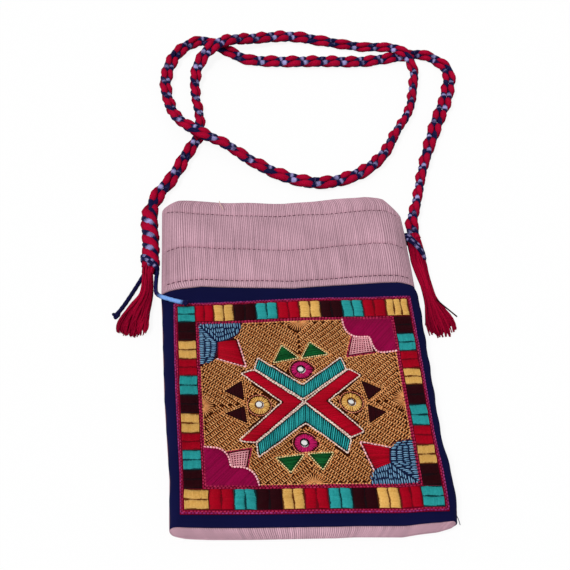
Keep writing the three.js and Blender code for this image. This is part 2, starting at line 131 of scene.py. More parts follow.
def pointsAt(line, run, places):
    return np.stack([np.interp(places, run, line[:, axis]) for axis in range(line.shape[1])], axis=1)


def evenSteps(line, count):
    # The line again, as points at equal steps of its length
    run = runAlong(line)
    return pointsAt(line, run, np.linspace(0, run[-1], count))


def atLevel(places, level):
    # Flat places lifted to one height
    return np.column_stack([places, np.full(len(places), level)])


def turned(vectors, cosine, sine):
    x, y = vectors[..., 0], vectors[..., 1]
    return np.stack([x * cosine - y * sine, x * sine + y * cosine], axis=-1)


def unitCircle(count):
    angles = np.linspace(0, 2 * math.pi, count + 1)[:-1]
    return np.stack([np.cos(angles), np.sin(angles)], axis=1)


def lengthOf(line):
    return float(np.linalg.norm(np.diff(line, axis=0), axis=1).sum())


def drawnIn(outline, distance):
    # Each edge moves inwards by the distance, and moved edges meet again at the corners
    points = np.asarray(outline, float)
    ahead = np.roll(points, -1, axis=0)
    turn = np.sign((points[:, 0] * ahead[:, 1] - ahead[:, 0] * points[:, 1]).sum())
    edge = unit(ahead - points)
    after = np.stack([-turn * edge[:, 1], turn * edge[:, 0]], axis=1)
    before = np.roll(after, 1, axis=0)
    reach = distance / (1 + (before * after).sum(axis=1, keepdims=True))
    return points + (before + after) * reach


def insideOf(outline, points):
    # Even and odd crossings of a line to the right of each point
    ends = np.roll(outline, -1, axis=0)
    x, y = points[:, 0, None], points[:, 1, None]
    straddles = (outline[:, 1] > y) != (ends[:, 1] > y)
    rise = np.where(ends[:, 1] == outline[:, 1], 1e-9, ends[:, 1] - outline[:, 1])
    meets = outline[:, 0] + (y - outline[:, 1]) / rise * (ends[:, 0] - outline[:, 0])
    return (straddles & (x < meets)).sum(axis=1) % 2 == 1


# How near its ends a thread counts as tip, as a share of its run, where the tips get a painted highlight;
# and how much of a tube's crown light its ridges take up, painted lighter on ridge tops and darker between
tipReach = 0.15
ridgeShade = 0.35


# Mesh helpers: a part is points with faces as arrays of corner numbers, and per point a uv and a shade
def onePart(points, faces, uv=None, shade=None, finish=0):
    points = np.asarray(points, float).reshape(-1, 3)
    uv = np.zeros((len(points), 2)) if uv is None else np.asarray(uv, float).reshape(-1, 2)
    shade = np.full(len(points), 0.5) if shade is None else np.broadcast_to(shade, len(points))
    volume = 0
    for group in faces:
        first = points[group[:, 0]]
        for corner in range(1, group.shape[1] - 1):
            second, third = points[group[:, corner]], points[group[:, corner + 1]]
            volume += (first * np.cross(second, third)).sum()
    if volume < 0:
        faces = [group[:, ::-1] for group in faces]
    return {"points": points, "faces": faces, "uv": uv, "shade": shade, "finish": finish}


def buildPiece(name, parts, materials, replaced=(), lay=True):
    points, corners, sizes, finishes, start = [], [], [], [], 0
    for part in parts:
        points.append(laid(part["points"]) if lay else part["points"])
        for group in part["faces"]:
            corners.append((group + start).ravel())
            sizes.append(np.full(len(group), group.shape[1]))
            finishes.append(np.full(len(group), part["finish"]))
        start += len(part["points"])
    points = np.concatenate(points) * 0.001
    corners = np.concatenate(corners).astype(np.int32)
    sizes = np.concatenate(sizes).astype(np.int32)
    mesh = bpy.data.meshes.new(name)
    mesh.vertices.add(len(points))
    mesh.vertices.foreach_set("co", points.ravel())
    mesh.loops.add(len(corners))
    mesh.loops.foreach_set("vertex_index", corners)
    mesh.polygons.add(len(sizes))
    mesh.polygons.foreach_set("loop_start", np.concatenate([[0], np.cumsum(sizes)[:-1]]).astype(np.int32))
    mesh.polygons.foreach_set("loop_total", sizes)
    mesh.polygons.foreach_set("material_index", np.concatenate(finishes).astype(np.int32))
    mesh.update(calc_edges=True)
    uv = np.concatenate([part["uv"] for part in parts])
    mesh.uv_layers.new(name="cloth").data.foreach_set("uv", uv[corners].ravel())
    shade = mesh.attributes.new("shade", "FLOAT", "POINT")
    shade.data.foreach_set("value", np.concatenate([part["shade"] for part in parts]))
    mesh.polygons.foreach_set("use_smooth", np.full(len(sizes), True))
    for material in materials:
        mesh.materials.append(material)
    mesh.validate()
    piece = bpy.data.objects.new(name, mesh)
    bpy.context.scene.collection.objects.link(piece)
    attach(piece, "root")
    if replaced:
        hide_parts(*replaced)
    return piece


def threads(
    starts, ends, radius, arch=0.0, bow=0.0, flat=0.8, shade=None, sides=5,
    places=(0.12, 0.5, 0.88), paintedTipHighlight=0.0,
):
    # Each thread is a closed lens: a tip at either end and rings of points between. Its line rises by
    # arch and swings sideways by bow, both with the sine of its run
    starts, ends = np.asarray(starts, float), np.asarray(ends, float)
    count = len(starts)
    run = ends - starts
    along = unit(run)
    side = unit(np.stack([-along[:, 1], along[:, 0], np.zeros(count)], axis=1))
    up = np.cross(along, side)
    arch = np.broadcast_to(arch, count)[:, None]
    bow = np.broadcast_to(bow, count)[:, None]
    radius = np.broadcast_to(radius, count)[:, None, None, None]
    way = np.array(places)[None, :, None]
    swing = np.sin(math.pi * way)
    centre = starts[:, None] + run[:, None] * way + swing * (arch * up + bow * side)[:, None]
    size = (0.62 + 0.38 * np.sin(math.pi * np.array(places)))[None, :, None, None]
    angle = ((np.arange(sides) + 0.5) / sides * 2 * math.pi)[None, None, :, None]
    spread = np.cos(angle) * side[:, None, None] + np.sin(angle) * flat * up[:, None, None]
    rings = centre[:, :, None] + radius * size * spread
    points = np.concatenate([starts[:, None], rings.reshape(count, -1, 3), ends[:, None]], axis=1)
    each = points.shape[1]
    around = np.arange(sides)
    ahead = (around + 1) % sides
    tips = [np.stack([np.zeros(sides, int), 1 + ahead, 1 + around], axis=1)]
    last = 1 + (len(places) - 1) * sides
    tips.append(np.stack([np.full(sides, each - 1), last + around, last + ahead], axis=1))
    quads = []
    for ring in range(len(places) - 1):
        low = 1 + ring * sides
        quads.append(np.stack([low + around, low + ahead, low + sides + ahead, low + sides + around], axis=1))
    shift = (np.arange(count) * each)[:, None, None]
    faces = [(np.concatenate(tips)[None] + shift).reshape(-1, 3)]
    if quads:
        faces.append((np.concatenate(quads)[None] + shift).reshape(-1, 4))
    shade = dice.random(count) if shade is None else np.broadcast_to(shade, count)
    travel = np.concatenate([[0], places, [1]])
    repeats = np.concatenate([[1], np.full(len(places), sides), [1]])
    u = np.repeat(travel, repeats)[None] * np.linalg.norm(run, axis=1)[:, None] * 0.001
    uv = np.stack([u, np.zeros_like(u)], axis=-1)
    # Painted highlight: the tips and the rings nearest them are lighter, as light caught by the thread ends
    nearTip = (np.minimum(travel, 1 - travel) < tipReach).astype(float)
    shades = shade[:, None] + paintedTipHighlight * np.repeat(nearTip, repeats)[None]
    return onePart(points, faces, uv, shades.ravel())


def tubes(
    lines, radius, sides=8, flat=1.0, shade=None, finish=0, ridges=0, ridgeDepth=0.0, twist=0.0, paintedTopLight=0.0
):
    # A ring of points carried along each line, with the ring's upright turned as little as it can be;
    # ridges raise the ring by a cosine that winds round the line. Painted light and shade: by its share,
    # the crown of each ring and its ridges are painted lighter, its underside and ridge hollows darker
    lines = np.asarray(lines, float)
    count, steps = lines.shape[:2]
    radius = np.broadcast_to(radius, (count, steps))
    along = unit(np.gradient(lines, axis=1))
    side = unit(np.cross(np.array([0.0, 0.0, 1.0]), along) + np.array([1e-6, 0, 0]))
    up = np.cross(along, side)
    angle = (np.arange(sides) / sides * 2 * math.pi - math.pi / 2)[None, None, :]
    spans = np.linalg.norm(np.diff(lines, axis=1), axis=2)
    run = np.concatenate([np.zeros((count, 1)), np.cumsum(spans, axis=1)], axis=1)
    ridge = np.cos(ridges * angle + twist * run[:, :, None])
    ring = (radius[:, :, None] * (1 + ridgeDepth * ridge))[..., None]
    spread = np.cos(angle)[..., None] * side[:, :, None] + flat * np.sin(angle)[..., None] * up[:, :, None]
    points = lines[:, :, None] + ring * spread
    index = np.arange(steps * sides).reshape(steps, sides)
    ahead = np.roll(index, -1, axis=1)
    quads = np.stack([index[:-1], ahead[:-1], ahead[1:], index[1:]], axis=-1).reshape(-1, 4)
    each = steps * sides + 2
    low = np.stack([np.full(sides, each - 2), ahead[0], index[0]], axis=1)
    high = np.stack([np.full(sides, each - 1), index[-1], ahead[-1]], axis=1)
    tipLow = lines[:, 0] - along[:, 0] * radius[:, 0, None] * 0.35
    tipHigh = lines[:, -1] + along[:, -1] * radius[:, -1, None] * 0.35
    points = np.concatenate([points.reshape(count, -1, 3), tipLow[:, None], tipHigh[:, None]], axis=1)
    shift = (np.arange(count) * each)[:, None, None]
    faces = [(quads[None] + shift).reshape(-1, 4), (np.concatenate([low, high])[None] + shift).reshape(-1, 3)]
    u = np.repeat(run * 0.001, sides, axis=1)
    v = np.tile(np.arange(sides) / sides, (count, steps))
    u = np.concatenate([u, u[:, :1], u[:, -1:]], axis=1)
    v = np.concatenate([v, np.zeros((count, 2))], axis=1)
    if shade is None:
        shade = dice.random((count, 1))
    else:
        shade = np.asarray(shade, float).reshape(-1, 1 if np.ndim(shade) < 2 else steps)
    # Painted light and shade: lighter on top and on the ridges, darker underneath and between ridges
    lit = paintedTopLight * (np.sin(angle) + ridgeShade * ridge)
    ringShade = (np.broadcast_to(shade, (count, steps))[:, :, None] + lit).reshape(count, -1)
    shades = np.concatenate([ringShade, ringShade[:, :1], ringShade[:, -1:]], axis=1)
    return onePart(points, faces, np.stack([u, v], axis=-1), shades.ravel(), finish)


def prism(outline, low, high, shade=0.3, brim=0.0):
    # The outline upright between two levels, with its upper edge drawn in for a rounded brim
    outline = np.asarray(outline, float)
    rings = [(outline, low), (outline, high - brim)]
    if brim:
        rings.append((drawnIn(outline, brim), high))
    points = np.concatenate([np.column_stack([ring, np.full(len(ring), level)]) for ring, level in rings])
    size = len(outline)
    index = np.arange(len(rings) * size).reshape(-1, size)
    ahead = np.roll(index, -1, axis=1)
    sides = np.stack([index[:-1], ahead[:-1], ahead[1:], index[1:]], axis=-1).reshape(-1, 4)
    return onePart(points, [sides, index[:1, ::-1], index[-1:]], points[:, :2] * 0.001, shade)


def shell(outer, inner, uv):
    # Outer and inner face of a cloth as one closed loop of rows, with its two ends closed row to row
    loop = np.concatenate([outer, inner[::-1]])
    rows, columns = loop.shape[:2]
    index = np.arange(rows * columns).reshape(rows, columns)
    ahead = np.roll(index, -1, axis=0)
    faces = np.stack([index[:, :-1], index[:, 1:], ahead[:, 1:], ahead[:, :-1]], axis=-1).reshape(-1, 4)
    half = rows // 2
    back = index[::-1]
    near, far = slice(0, half - 1), slice(1, half)
    low = np.stack([index[near, 0], index[far, 0], back[far, 0], back[near, 0]], axis=-1)
    high = np.stack([index[near, -1], back[near, -1], back[far, -1], index[far, -1]], axis=-1)
    return onePart(loop, [faces, low, high], np.concatenate([uv, uv[::-1]]))


# Pouch sizes, in millimetres
pouch = {
    "length": 224.8,
    "thickness": 10.4,
    "mouthHalf": 78.0,
    "baseHalf": 75.9,
    "flare": (-10.0, 80.0),
    "corner": 7.5,
    "baseCorner": 3.4,
    "handCut": 0.027,
    "wall": 1.6,
    "liningWall": 0.6,
    "clearance": 0.3,
    "backRoll": 12.0,
    "patchRoll": 5.3,
    "bandRoll": 17.0,
    "baseRoll": 3.3,
    "bandSeam": 43.4,
    "stitchRows": (49.0, 74.0, 101.0),
    "puff": 1.5,
    "crease": 1.25,
}
halfLength = pouch["length"] / 2
seamLevel = pouch["thickness"] / 2

# How far the band's seam, stitching and mouth wander off straight lines, by their place across
wanderAcross = (-78, -66, -53, -23, 2, 30, 55, 67, 78)
wanderRows = {
    43.4: (-2.2, -0.5, 1.2, -0.4, -1.5, 0.6, 2.3, 2.4, 0.8),
    74.0: (-2.4, 0.2, 0.2, -1.6, -2.4, 0.2, 3.0, 1.9, -1.4),
    101.0: (2.6, 1.6, 0.4, -0.3, -0.4, 1.0, 2.8, 2.0, -2.5),
    112.4: (-2.2, -0.4, -0.8, -0.7, -1.2, 1.1, 2.8, 0.8, -8.4),
}
# The side edges as they lie, by their place along, and how far the base rises by its place across
leftEdge = (
    (-112, -101, -80, -66, -30, 5, 25, 40, 102, 112),
    (75, 74.9, 74.3, 74.9, 76.2, 76.5, 76.5, 76.8, 75.4, 75),
)
rightEdge = (
    (-112, -108, -98, -90, -82, -74, -66, -55, -7, 40, 90, 112),
    (72.8, 73.8, 75.6, 76.1, 76.5, 76, 75.2, 74.5, 75.9, 77.2, 77.6, 77.2),
)
baseRise = (
    (-74, -67, -55, 10, 20, 45, 52, 58, 64, 70, 76),
    (1.2, 0.4, 0, 0, 0.5, 0.6, 1.4, 1.8, 2.4, 3.8, 5),
)
# Where the pouch changes as it lies: between which places along or across each change comes in, and
# how much of its height the middle of the mouth loses
lie = {
    "straight": (33, 43),
    "edge": (62, 78),
    "mouth": (55, 112),
    "pressed": 0.27,
    "pressedHalf": 64,
    "band": (44, 52),
    "right": (44, 60),
    "upper": (6, 22),
    "base": (106, 112),
}
# Slow ripples as (height, turn by x, turn by y, start), in millimetres and radians
ripples = ((0.22, 0.058, 0.031, 1.0), (0.16, -0.037, 0.083, 0.0))
# The patch is sewn on a little off square: right and top edges, by their place along
patchShift = {
    "right": ((-102, 32), (0.5, 1.6)),
    "rightUp": ((-102, 32), (0.8, 1.9)),
    "topUp": ((-70, 70), (0.2, 1.9)),
}


def flaredHalf(y):
    return pouch["baseHalf"] + (pouch["mouthHalf"] - pouch["baseHalf"]) * smoothStep(y, *pouch["flare"])


def halfWidthAt(y):
    flared = flaredHalf(y)
    corner = np.where(np.asarray(y) > 0, pouch["corner"], pouch["baseCorner"])
    into = np.clip(corner - np.maximum(halfLength - np.abs(y), 0), 0, None)
    return flared - (corner - np.sqrt(corner**2 - into**2))


def laid(points):
    # Hand cutting, the wander of the band, the edges as they lie, the pressed mouth and slow ripples
    x, y, z = (points[..., axis].copy() for axis in range(3))
    wide = x / pouch["baseHalf"]
    straight = smoothStep(y, *lie["straight"])
    rows = list(wanderRows)
    wander = np.zeros_like(x)
    for number, row in enumerate(rows):
        peak = np.interp(y, rows, np.eye(len(rows))[number])
        wander += peak * np.interp(x, wanderAcross, wanderRows[row])
    shifted = y * (1 + pouch["handCut"] * wide * (1 - straight)) + wander * straight
    edge = np.where(x < 0, np.interp(y, *leftEdge), np.interp(y, *rightEdge))
    x = x * (1 + (edge / flaredHalf(y) - 1) * smoothStep(np.abs(x), *lie["edge"]))
    bowed = np.clip(1 - (x / lie["pressedHalf"]) ** 2, 0, None)
    pressed = lie["pressed"] * smoothStep(y, *lie["mouth"]) * bowed
    level = z / pouch["thickness"]
    ripple = sum(height * np.sin(byX * x + byY * y + start) for height, byX, byY, start in ripples)
    soft = smoothStep(y, *lie["band"]) * np.clip(1 - np.abs(wide), 0, 1) ** 0.5
    crumple = 0.3 * np.sin(0.21 * x + 0.9 * np.sin(0.11 * y)) + 0.25 * np.sin(0.31 * y + 0.13 * x)
    z = z * (1 - pressed) + np.clip(level, 0, 1) * (ripple + soft * crumple)
    x = x + 0.25 * np.sin(0.071 * y + 0.4) * np.clip(1 - np.abs(wide), 0, 1)
    shifted = shifted + 0.22 * np.sin(0.066 * x + 0.9)
    sideways = smoothStep(x, *lie["right"]) * (1 - straight)
    upper = smoothStep(y, *lie["upper"]) * (1 - straight)
    x = x + sideways * np.interp(y, *patchShift["right"])
    shifted = shifted + sideways * np.interp(y, *patchShift["rightUp"])
    shifted = shifted + (1 - sideways) * upper * np.interp(x, *patchShift["topUp"])
    shifted = shifted + smoothStep(-y, *lie["base"]) * np.interp(x, *baseRise)
    return np.stack([x, shifted, z], axis=-1)


def clothRows(rows, shares):
    # A sheet of the pouch: flat across, then rolled down to the side seams on a quarter ellipse.
    # Each row is y, lift (share of full height), depth under the outside, side (1 front, -1 back), puff
    y, lift, depth, side, puff = (np.asarray(rows, float)[:, [item]] for item in range(5))
    half = halfWidthAt(y) - depth
    fuller = smoothStep(y, lie["straight"][0], pouch["bandSeam"] + 6)
    front = pouch["patchRoll"] + (pouch["bandRoll"] - pouch["patchRoll"]) * fuller
    roll = np.where(side > 0, front, pouch["backRoll"]) - depth
    gap = pouch["clearance"] / 2
    height = (seamLevel - depth - gap) * lift
    arc = math.pi / 2 * np.sqrt((roll**2 + np.maximum(height, 0.05) ** 2) / 2)
    run = shares[None, :] * (half - roll + arc)
    over = np.clip((np.abs(run) - (half - roll)) / arc, 0, 1)
    angle = (1 - over) * math.pi / 2
    x = np.sign(run) * np.where(over > 0, half - roll * (1 - np.cos(angle)), np.abs(run))
    z = seamLevel + side * (gap + (height + puff) * np.sin(angle))
    points = np.stack(np.broadcast_arrays(x, y, z), axis=-1)
    tilt = np.sqrt(np.clip(1 - lift**2, 0, 1))
    facing = (np.sign(run) * np.cos(angle), -tilt * np.sin(angle), side * lift * np.sin(angle))
    outward = np.stack(np.broadcast_arrays(*facing), axis=-1)
    travel = runAlong(points[:, points.shape[1] // 2])
    uv = np.stack(np.broadcast_arrays(run * 0.001, travel[:, None] * 0.001), axis=-1)
    return points, outward, uv


print("camera and shapes ready")


# Materials
def linear(colour):
    share = np.array(colour, float) / 255
    return tuple(np.where(share <= 0.04045, share / 12.92, ((share + 0.055) / 1.055) ** 2.4)) + (1.0,)


def addNode(tree, kind, **settings):
    made = tree.nodes.new(kind)
    for key, value in settings.items():
        setattr(made, key, value)
    return made


def plug(tree, source, target):
    tree.links.new(source, target)


def sums(tree, operation, first, second=None, third=None):
    made = addNode(tree, "ShaderNodeMath", operation=operation)
    for socket, value in zip(made.inputs, (first, second, third)):
        if value is None:
            continue
        if isinstance(value, (int, float)):
            socket.default_value = value
        else:
            plug(tree, value, socket)
    return made.outputs[0]


def blendColours(tree, factor, first, second, mode="MIX"):
    made = addNode(tree, "ShaderNodeMix", data_type="RGBA", blend_type=mode)
    for socket, value in ((made.inputs[0], factor), (made.inputs[6], first), (made.inputs[7], second)):
        if isinstance(value, (int, float, tuple)):
            socket.default_value = value
        else:
            plug(tree, value, socket)
    return made.outputs[2]


def noiseAt(tree, place, scale, detail=2):
    # Noise at the given places, its scale a number or another node's value
    made = addNode(tree, "ShaderNodeTexNoise")
    made.inputs["Detail"].default_value = detail
    if isinstance(scale, (int, float)):
        made.inputs["Scale"].default_value = scale
    else:
        plug(tree, scale, made.inputs["Scale"])
    plug(tree, place, made.inputs["Vector"])
    return made.outputs["Fac"]


def stretchedAlong(tree, place, share):
    made = addNode(tree, "ShaderNodeMapping")
    made.inputs["Scale"].default_value = (1.0, share, 1.0)
    plug(tree, place, made.inputs["Vector"])
    return made.outputs[0]


def litBy(tree, tone, share):
    # The colour times a plain number
    grey = addNode(tree, "ShaderNodeCombineColor")
    for socket in grey.inputs:
        plug(tree, share, socket)
    return blendColours(tree, 1.0, tone, grey.outputs[0], "MULTIPLY")


def toneGroup(name, colours, measure, value):
    # Two colours and a measure go in, a colour and a height come out
    group = bpy.data.node_groups.new(name, "ShaderNodeTree")
    for label in colours:
        group.interface.new_socket(label, in_out="INPUT", socket_type="NodeSocketColor")
    size = group.interface.new_socket(measure, in_out="INPUT", socket_type="NodeSocketFloat")
    size.default_value = value
    group.interface.new_socket("Colour", in_out="OUTPUT", socket_type="NodeSocketColor")
    group.interface.new_socket("Height", in_out="OUTPUT", socket_type="NodeSocketFloat")
    return group, addNode(group, "NodeGroupInput").outputs, addNode(group, "NodeGroupOutput").inputs


def threadGroup():
    # Dark to light by the shade attribute, which holds each thread's own tone and, on many pieces, painted
    # light and shade; with slow patches and fine fibres along it
    group, given, result = toneGroup("threadTone", ("Dark", "Light"), "Fibre", 1400.0)
    place = addNode(group, "ShaderNodeTexCoord").outputs["Object"]
    own = addNode(group, "ShaderNodeAttribute", attribute_name="shade").outputs["Fac"]
    fine = noiseAt(group, place, given["Fibre"], 3)
    slow = noiseAt(group, place, 55)
    mixed = sums(group, "MULTIPLY_ADD", own, 0.55, sums(group, "MULTIPLY_ADD", fine, 0.9, -0.22))
    tone = blendColours(group, mixed, given["Dark"], given["Light"])
    faded = sums(group, "MULTIPLY_ADD", slow, 0.5, 0.75)
    plug(group, litBy(group, tone, faded), result["Colour"])
    plug(group, fine, result["Height"])
    return group


def waleGroup():
    # Upright wales from the cloth's own uv: a ridge each pitch with a dark groove, the groove's darkness
    # painted shade, and a cut pile; towards its left and right edges the cloth is darker, also painted shade
    group, given, result = toneGroup("corduroyTone", ("Ridge", "Groove"), "Pitch", 0.0011)
    uv = addNode(group, "ShaderNodeTexCoord").outputs["UV"]
    parts = addNode(group, "ShaderNodeSeparateXYZ")
    plug(group, uv, parts.inputs[0])
    turns = sums(group, "MULTIPLY", sums(group, "DIVIDE", parts.outputs["X"], given["Pitch"]), math.pi)
    ridge = sums(group, "POWER", sums(group, "ABSOLUTE", sums(group, "SINE", turns)), 0.6)
    streak = noiseAt(group, stretchedAlong(group, uv, 0.03), 620)
    pile = noiseAt(group, stretchedAlong(group, uv, 0.35), 1500, 3)
    slow = noiseAt(group, uv, 40, 4)
    tone = blendColours(group, ridge, given["Groove"], given["Ridge"])
    # Painted shade: darker towards the left and right edges, where the cloth rolls down to the side seams
    outward = sums(group, "MULTIPLY", sums(group, "ABSOLUTE", parts.outputs["X"]), 12.8)
    paintedEdgeShade = sums(group, "MULTIPLY", sums(group, "POWER", outward, 6.0), -0.22)
    # Slow patches and streaks of the pile, then the painted edge shade on top
    wearAndPaintedEdgeShade = sums(group, "MULTIPLY_ADD", slow, 0.5, sums(group, "MULTIPLY_ADD", streak, 0.8, -0.54))
    wearAndPaintedEdgeShade = sums(group, "ADD", wearAndPaintedEdgeShade, paintedEdgeShade)
    light = sums(group, "ADD", sums(group, "MULTIPLY_ADD", pile, 0.34, 0.71), wearAndPaintedEdgeShade)
    plug(group, litBy(group, tone, light), result["Colour"])
    plug(group, sums(group, "MULTIPLY_ADD", pile, 0.6, ridge), result["Height"])
    return group


def weaveGroup():
    # A plain weave from the cloth's uv: warp and weft take turns on top, and the hollows between them are
    # darkened as painted shade
    group, given, result = toneGroup("plainWeave", ("Cloth", "Hollow"), "Pitch", 0.0007)
    uv = addNode(group, "ShaderNodeTexCoord").outputs["UV"]
    parts = addNode(group, "ShaderNodeSeparateXYZ")
    plug(group, uv, parts.inputs[0])
    waves = []
    for axis in ("X", "Y"):
        turns = sums(group, "MULTIPLY", sums(group, "DIVIDE", parts.outputs[axis], given["Pitch"]), math.pi)
        waves.append(sums(group, "SINE", turns))
    knit = sums(group, "MULTIPLY_ADD", sums(group, "MULTIPLY", waves[0], waves[1]), 0.5, 0.5)
    tone = blendColours(group, knit, given["Hollow"], given["Cloth"])
    faded = sums(group, "MULTIPLY_ADD", noiseAt(group, uv, 30, 5), 0.7, 0.65)
    plug(group, litBy(group, tone, faded), result["Colour"])
    plug(group, knit, result["Height"])
    return group


reliefDistance = 0.0002


def finishMaterial(name, group, settings, tint, roughness, bump, sheen, specular):
    material = bpy.data.materials.new(name)
    material.use_nodes = True
    tree = material.node_tree
    surface = tree.nodes["Principled BSDF"]
    tone = addNode(tree, "ShaderNodeGroup", node_tree=group)
    for label, value in settings.items():
        tone.inputs[label].default_value = value
    plug(tree, tone.outputs["Colour"], surface.inputs["Base Color"])
    relief = addNode(tree, "ShaderNodeBump")
    relief.inputs["Strength"].default_value = bump
    relief.inputs["Distance"].default_value = reliefDistance
    plug(tree, tone.outputs["Height"], relief.inputs["Height"])
    plug(tree, relief.outputs["Normal"], surface.inputs["Normal"])
    surface.inputs["Roughness"].default_value = roughness
    surface.inputs["Specular IOR Level"].default_value = specular
    surface.inputs["Sheen Weight"].default_value = sheen
    surface.inputs["Sheen Roughness"].default_value = 0.5
    surface.inputs["Sheen Tint"].default_value = tint
    return material


threadTone = threadGroup()
corduroyTone = waleGroup()
plainWeave = weaveGroup()


def threadMaterial(name, dark, light, roughness=0.55, bump=0.25, sheen=0.0, specular=0.06):
    settings = {"Dark": linear(dark), "Light": linear(light)}
    return finishMaterial(name, threadTone, settings, linear(light), roughness, bump, sheen, specular)


def clothMaterial(name, cloth, hollow, pitch):
    settings = {"Cloth": linear(cloth), "Hollow": linear(hollow), "Pitch": pitch}
    return finishMaterial(
        name, plainWeave, settings, linear(cloth), roughness=0.85, bump=0.35, sheen=0.0, specular=0.03
    )


walePitch = 1.1
# The groove colour is painted shade in the grooves between the wales
corduroySettings = {
    "Ridge": linear((208, 166, 180)),
    "Groove": linear((96, 60, 76)),
    "Pitch": walePitch * 0.001,
}
cloths = {
    "corduroy": finishMaterial(
        "corduroy", corduroyTone, corduroySettings, linear((226, 196, 206)),
        roughness=0.95, bump=0.6, sheen=0.1, specular=0.04,
    ),
    "navy": clothMaterial("navyCotton", (18, 20, 66), (9, 10, 40), 0.00075),
    "lining": clothMaterial("liningCotton", (206, 176, 184), (176, 142, 152), 0.0007),
    "ground": clothMaterial("crimsonCotton", (146, 4, 48), (100, 2, 32), 0.0007),
    # The dark brown cloth under the open chain stitches shows in their holes as painted shade
    "fieldGround": clothMaterial("holeShadeBrown", (64, 22, 4), (28, 8, 0), 0.0008),
}
# Dark and light colour of each thread, and its roughness where it isn't the usual one
yarnColours = {
    "teal": ((10, 108, 110), (56, 182, 182)),
    "gold": ((184, 128, 44), (242, 200, 118)),
    "red": ((130, 0, 14), (188, 0, 36)),
    "maroon": ((22, 0, 4), (46, 0, 8), 0.6),
    "green": ((0, 44, 16), (22, 104, 50)),
    "magenta": ((108, 0, 46), (156, 4, 72), 0.5),
    "blue": ((60, 104, 140), (138, 182, 212)),
    "blush": ((196, 116, 128), (240, 180, 186)),
    "mustard": ((176, 96, 40), (255, 190, 126), 0.5),
    "cream": ((204, 158, 146), (250, 234, 220)),
    "palePink": ((228, 132, 146), (255, 214, 216)),
    "paleYellow": ((206, 180, 112), (246, 232, 180)),
    "edging": ((112, 14, 78), (178, 64, 132)),
    "crimson": ((128, 4, 44), (196, 52, 96)),
    "plum": ((40, 4, 24), (84, 22, 52)),
    # Sewing thread darkened partly as painted shade of the creases it lies in
    "sewingAndCreaseShade": ((44, 20, 34), (86, 48, 66)),
    # Dark tones: as pads under stitches they show in the gaps between them as painted shade; the gold and
    # maroon ones also colour the dark ring lines against the mirrors as painted shade, and the blue one is
    # also the navy loose thread's own colour
    "goldGround": ((70, 30, 4), (104, 52, 10)),
    "redGround": ((84, 0, 10), (112, 0, 20)),
    "maroonGround": ((8, 0, 2), (18, 0, 6)),
    "blueGround": ((4, 12, 40), (14, 28, 66)),
    "tealGround": ((0, 38, 44), (2, 58, 62)),
    "greenGround": ((0, 18, 4), (0, 34, 12)),
    "blushGround": ((84, 16, 36), (118, 38, 56)),
    "brightMagenta": ((140, 6, 62), (206, 34, 112), 0.5),
    "orangePink": ((206, 110, 84), (236, 156, 130)),
}
yarns = {name: threadMaterial(f"{name}Thread", *colours) for name, colours in yarnColours.items()}
# The satin's light colours are painted highlights, the yarn's dark colour its painted shade where it dips
# under
strapFinishes = {
    "yarn": threadMaterial(
        "redYarn", (40, 0, 18), (190, 12, 54), roughness=0.85, bump=0.7, sheen=0.04, specular=0.02
    ),
    "satin": threadMaterial(
        "navySatin", (14, 12, 54), (184, 176, 236), roughness=0.5, bump=0.1, specular=0.04
    ),
    "satinBlue": threadMaterial("blueSatin", (14, 16, 68), (120, 166, 232), roughness=0.45, bump=0.1),
}


def mirrorMaterial():
    material = bpy.data.materials.new("mirrorGlass")
    material.use_nodes = True
    tree = material.node_tree
    surface = tree.nodes["Principled BSDF"]
    place = addNode(tree, "ShaderNodeTexCoord").outputs["Object"]
    smudge = noiseAt(tree, place, 700)
    glass = blendColours(tree, smudge, linear((236, 236, 232)), linear((206, 208, 206)))
    plug(tree, glass, surface.inputs["Base Color"])
    plug(tree, sums(tree, "MULTIPLY_ADD", smudge, 0.25, 0.02), surface.inputs["Roughness"])
    surface.inputs["Metallic"].default_value = 1.0
    return material


mirrorGlass = mirrorMaterial()
print("materials ready")

# Strap: sizes of its plait, and how round and ridged its strands are
strap = {
    "width": 0.0085,
    "thickness": 0.006,
    "over": 0.0063,
    "steps": 760,
    "repeat": 14.8,
    "yarnSide": 1.85,
    "yarnRadius": 1.95,
    "satinSide": 1.32,
    "satinRadius": 1.62,
    "weave": 0.95,
    "stagger": 0.9,
    "slant": 0.6,
    "twistEnd": 46.0,
    "twistRepeat": 21.0,
    "twistSwing": 2.6,
}
strandForms = {
    "yarn": dict(sides=12, flat=0.82, finish=0, ridges=5, ridgeDepth=0.08, twist=1.1, paintedTopLight=0.42),
    "satin": dict(sides=8, flat=0.95, finish=1, ridges=3, ridgeDepth=0.06, twist=2.4, paintedTopLight=0.12),
}
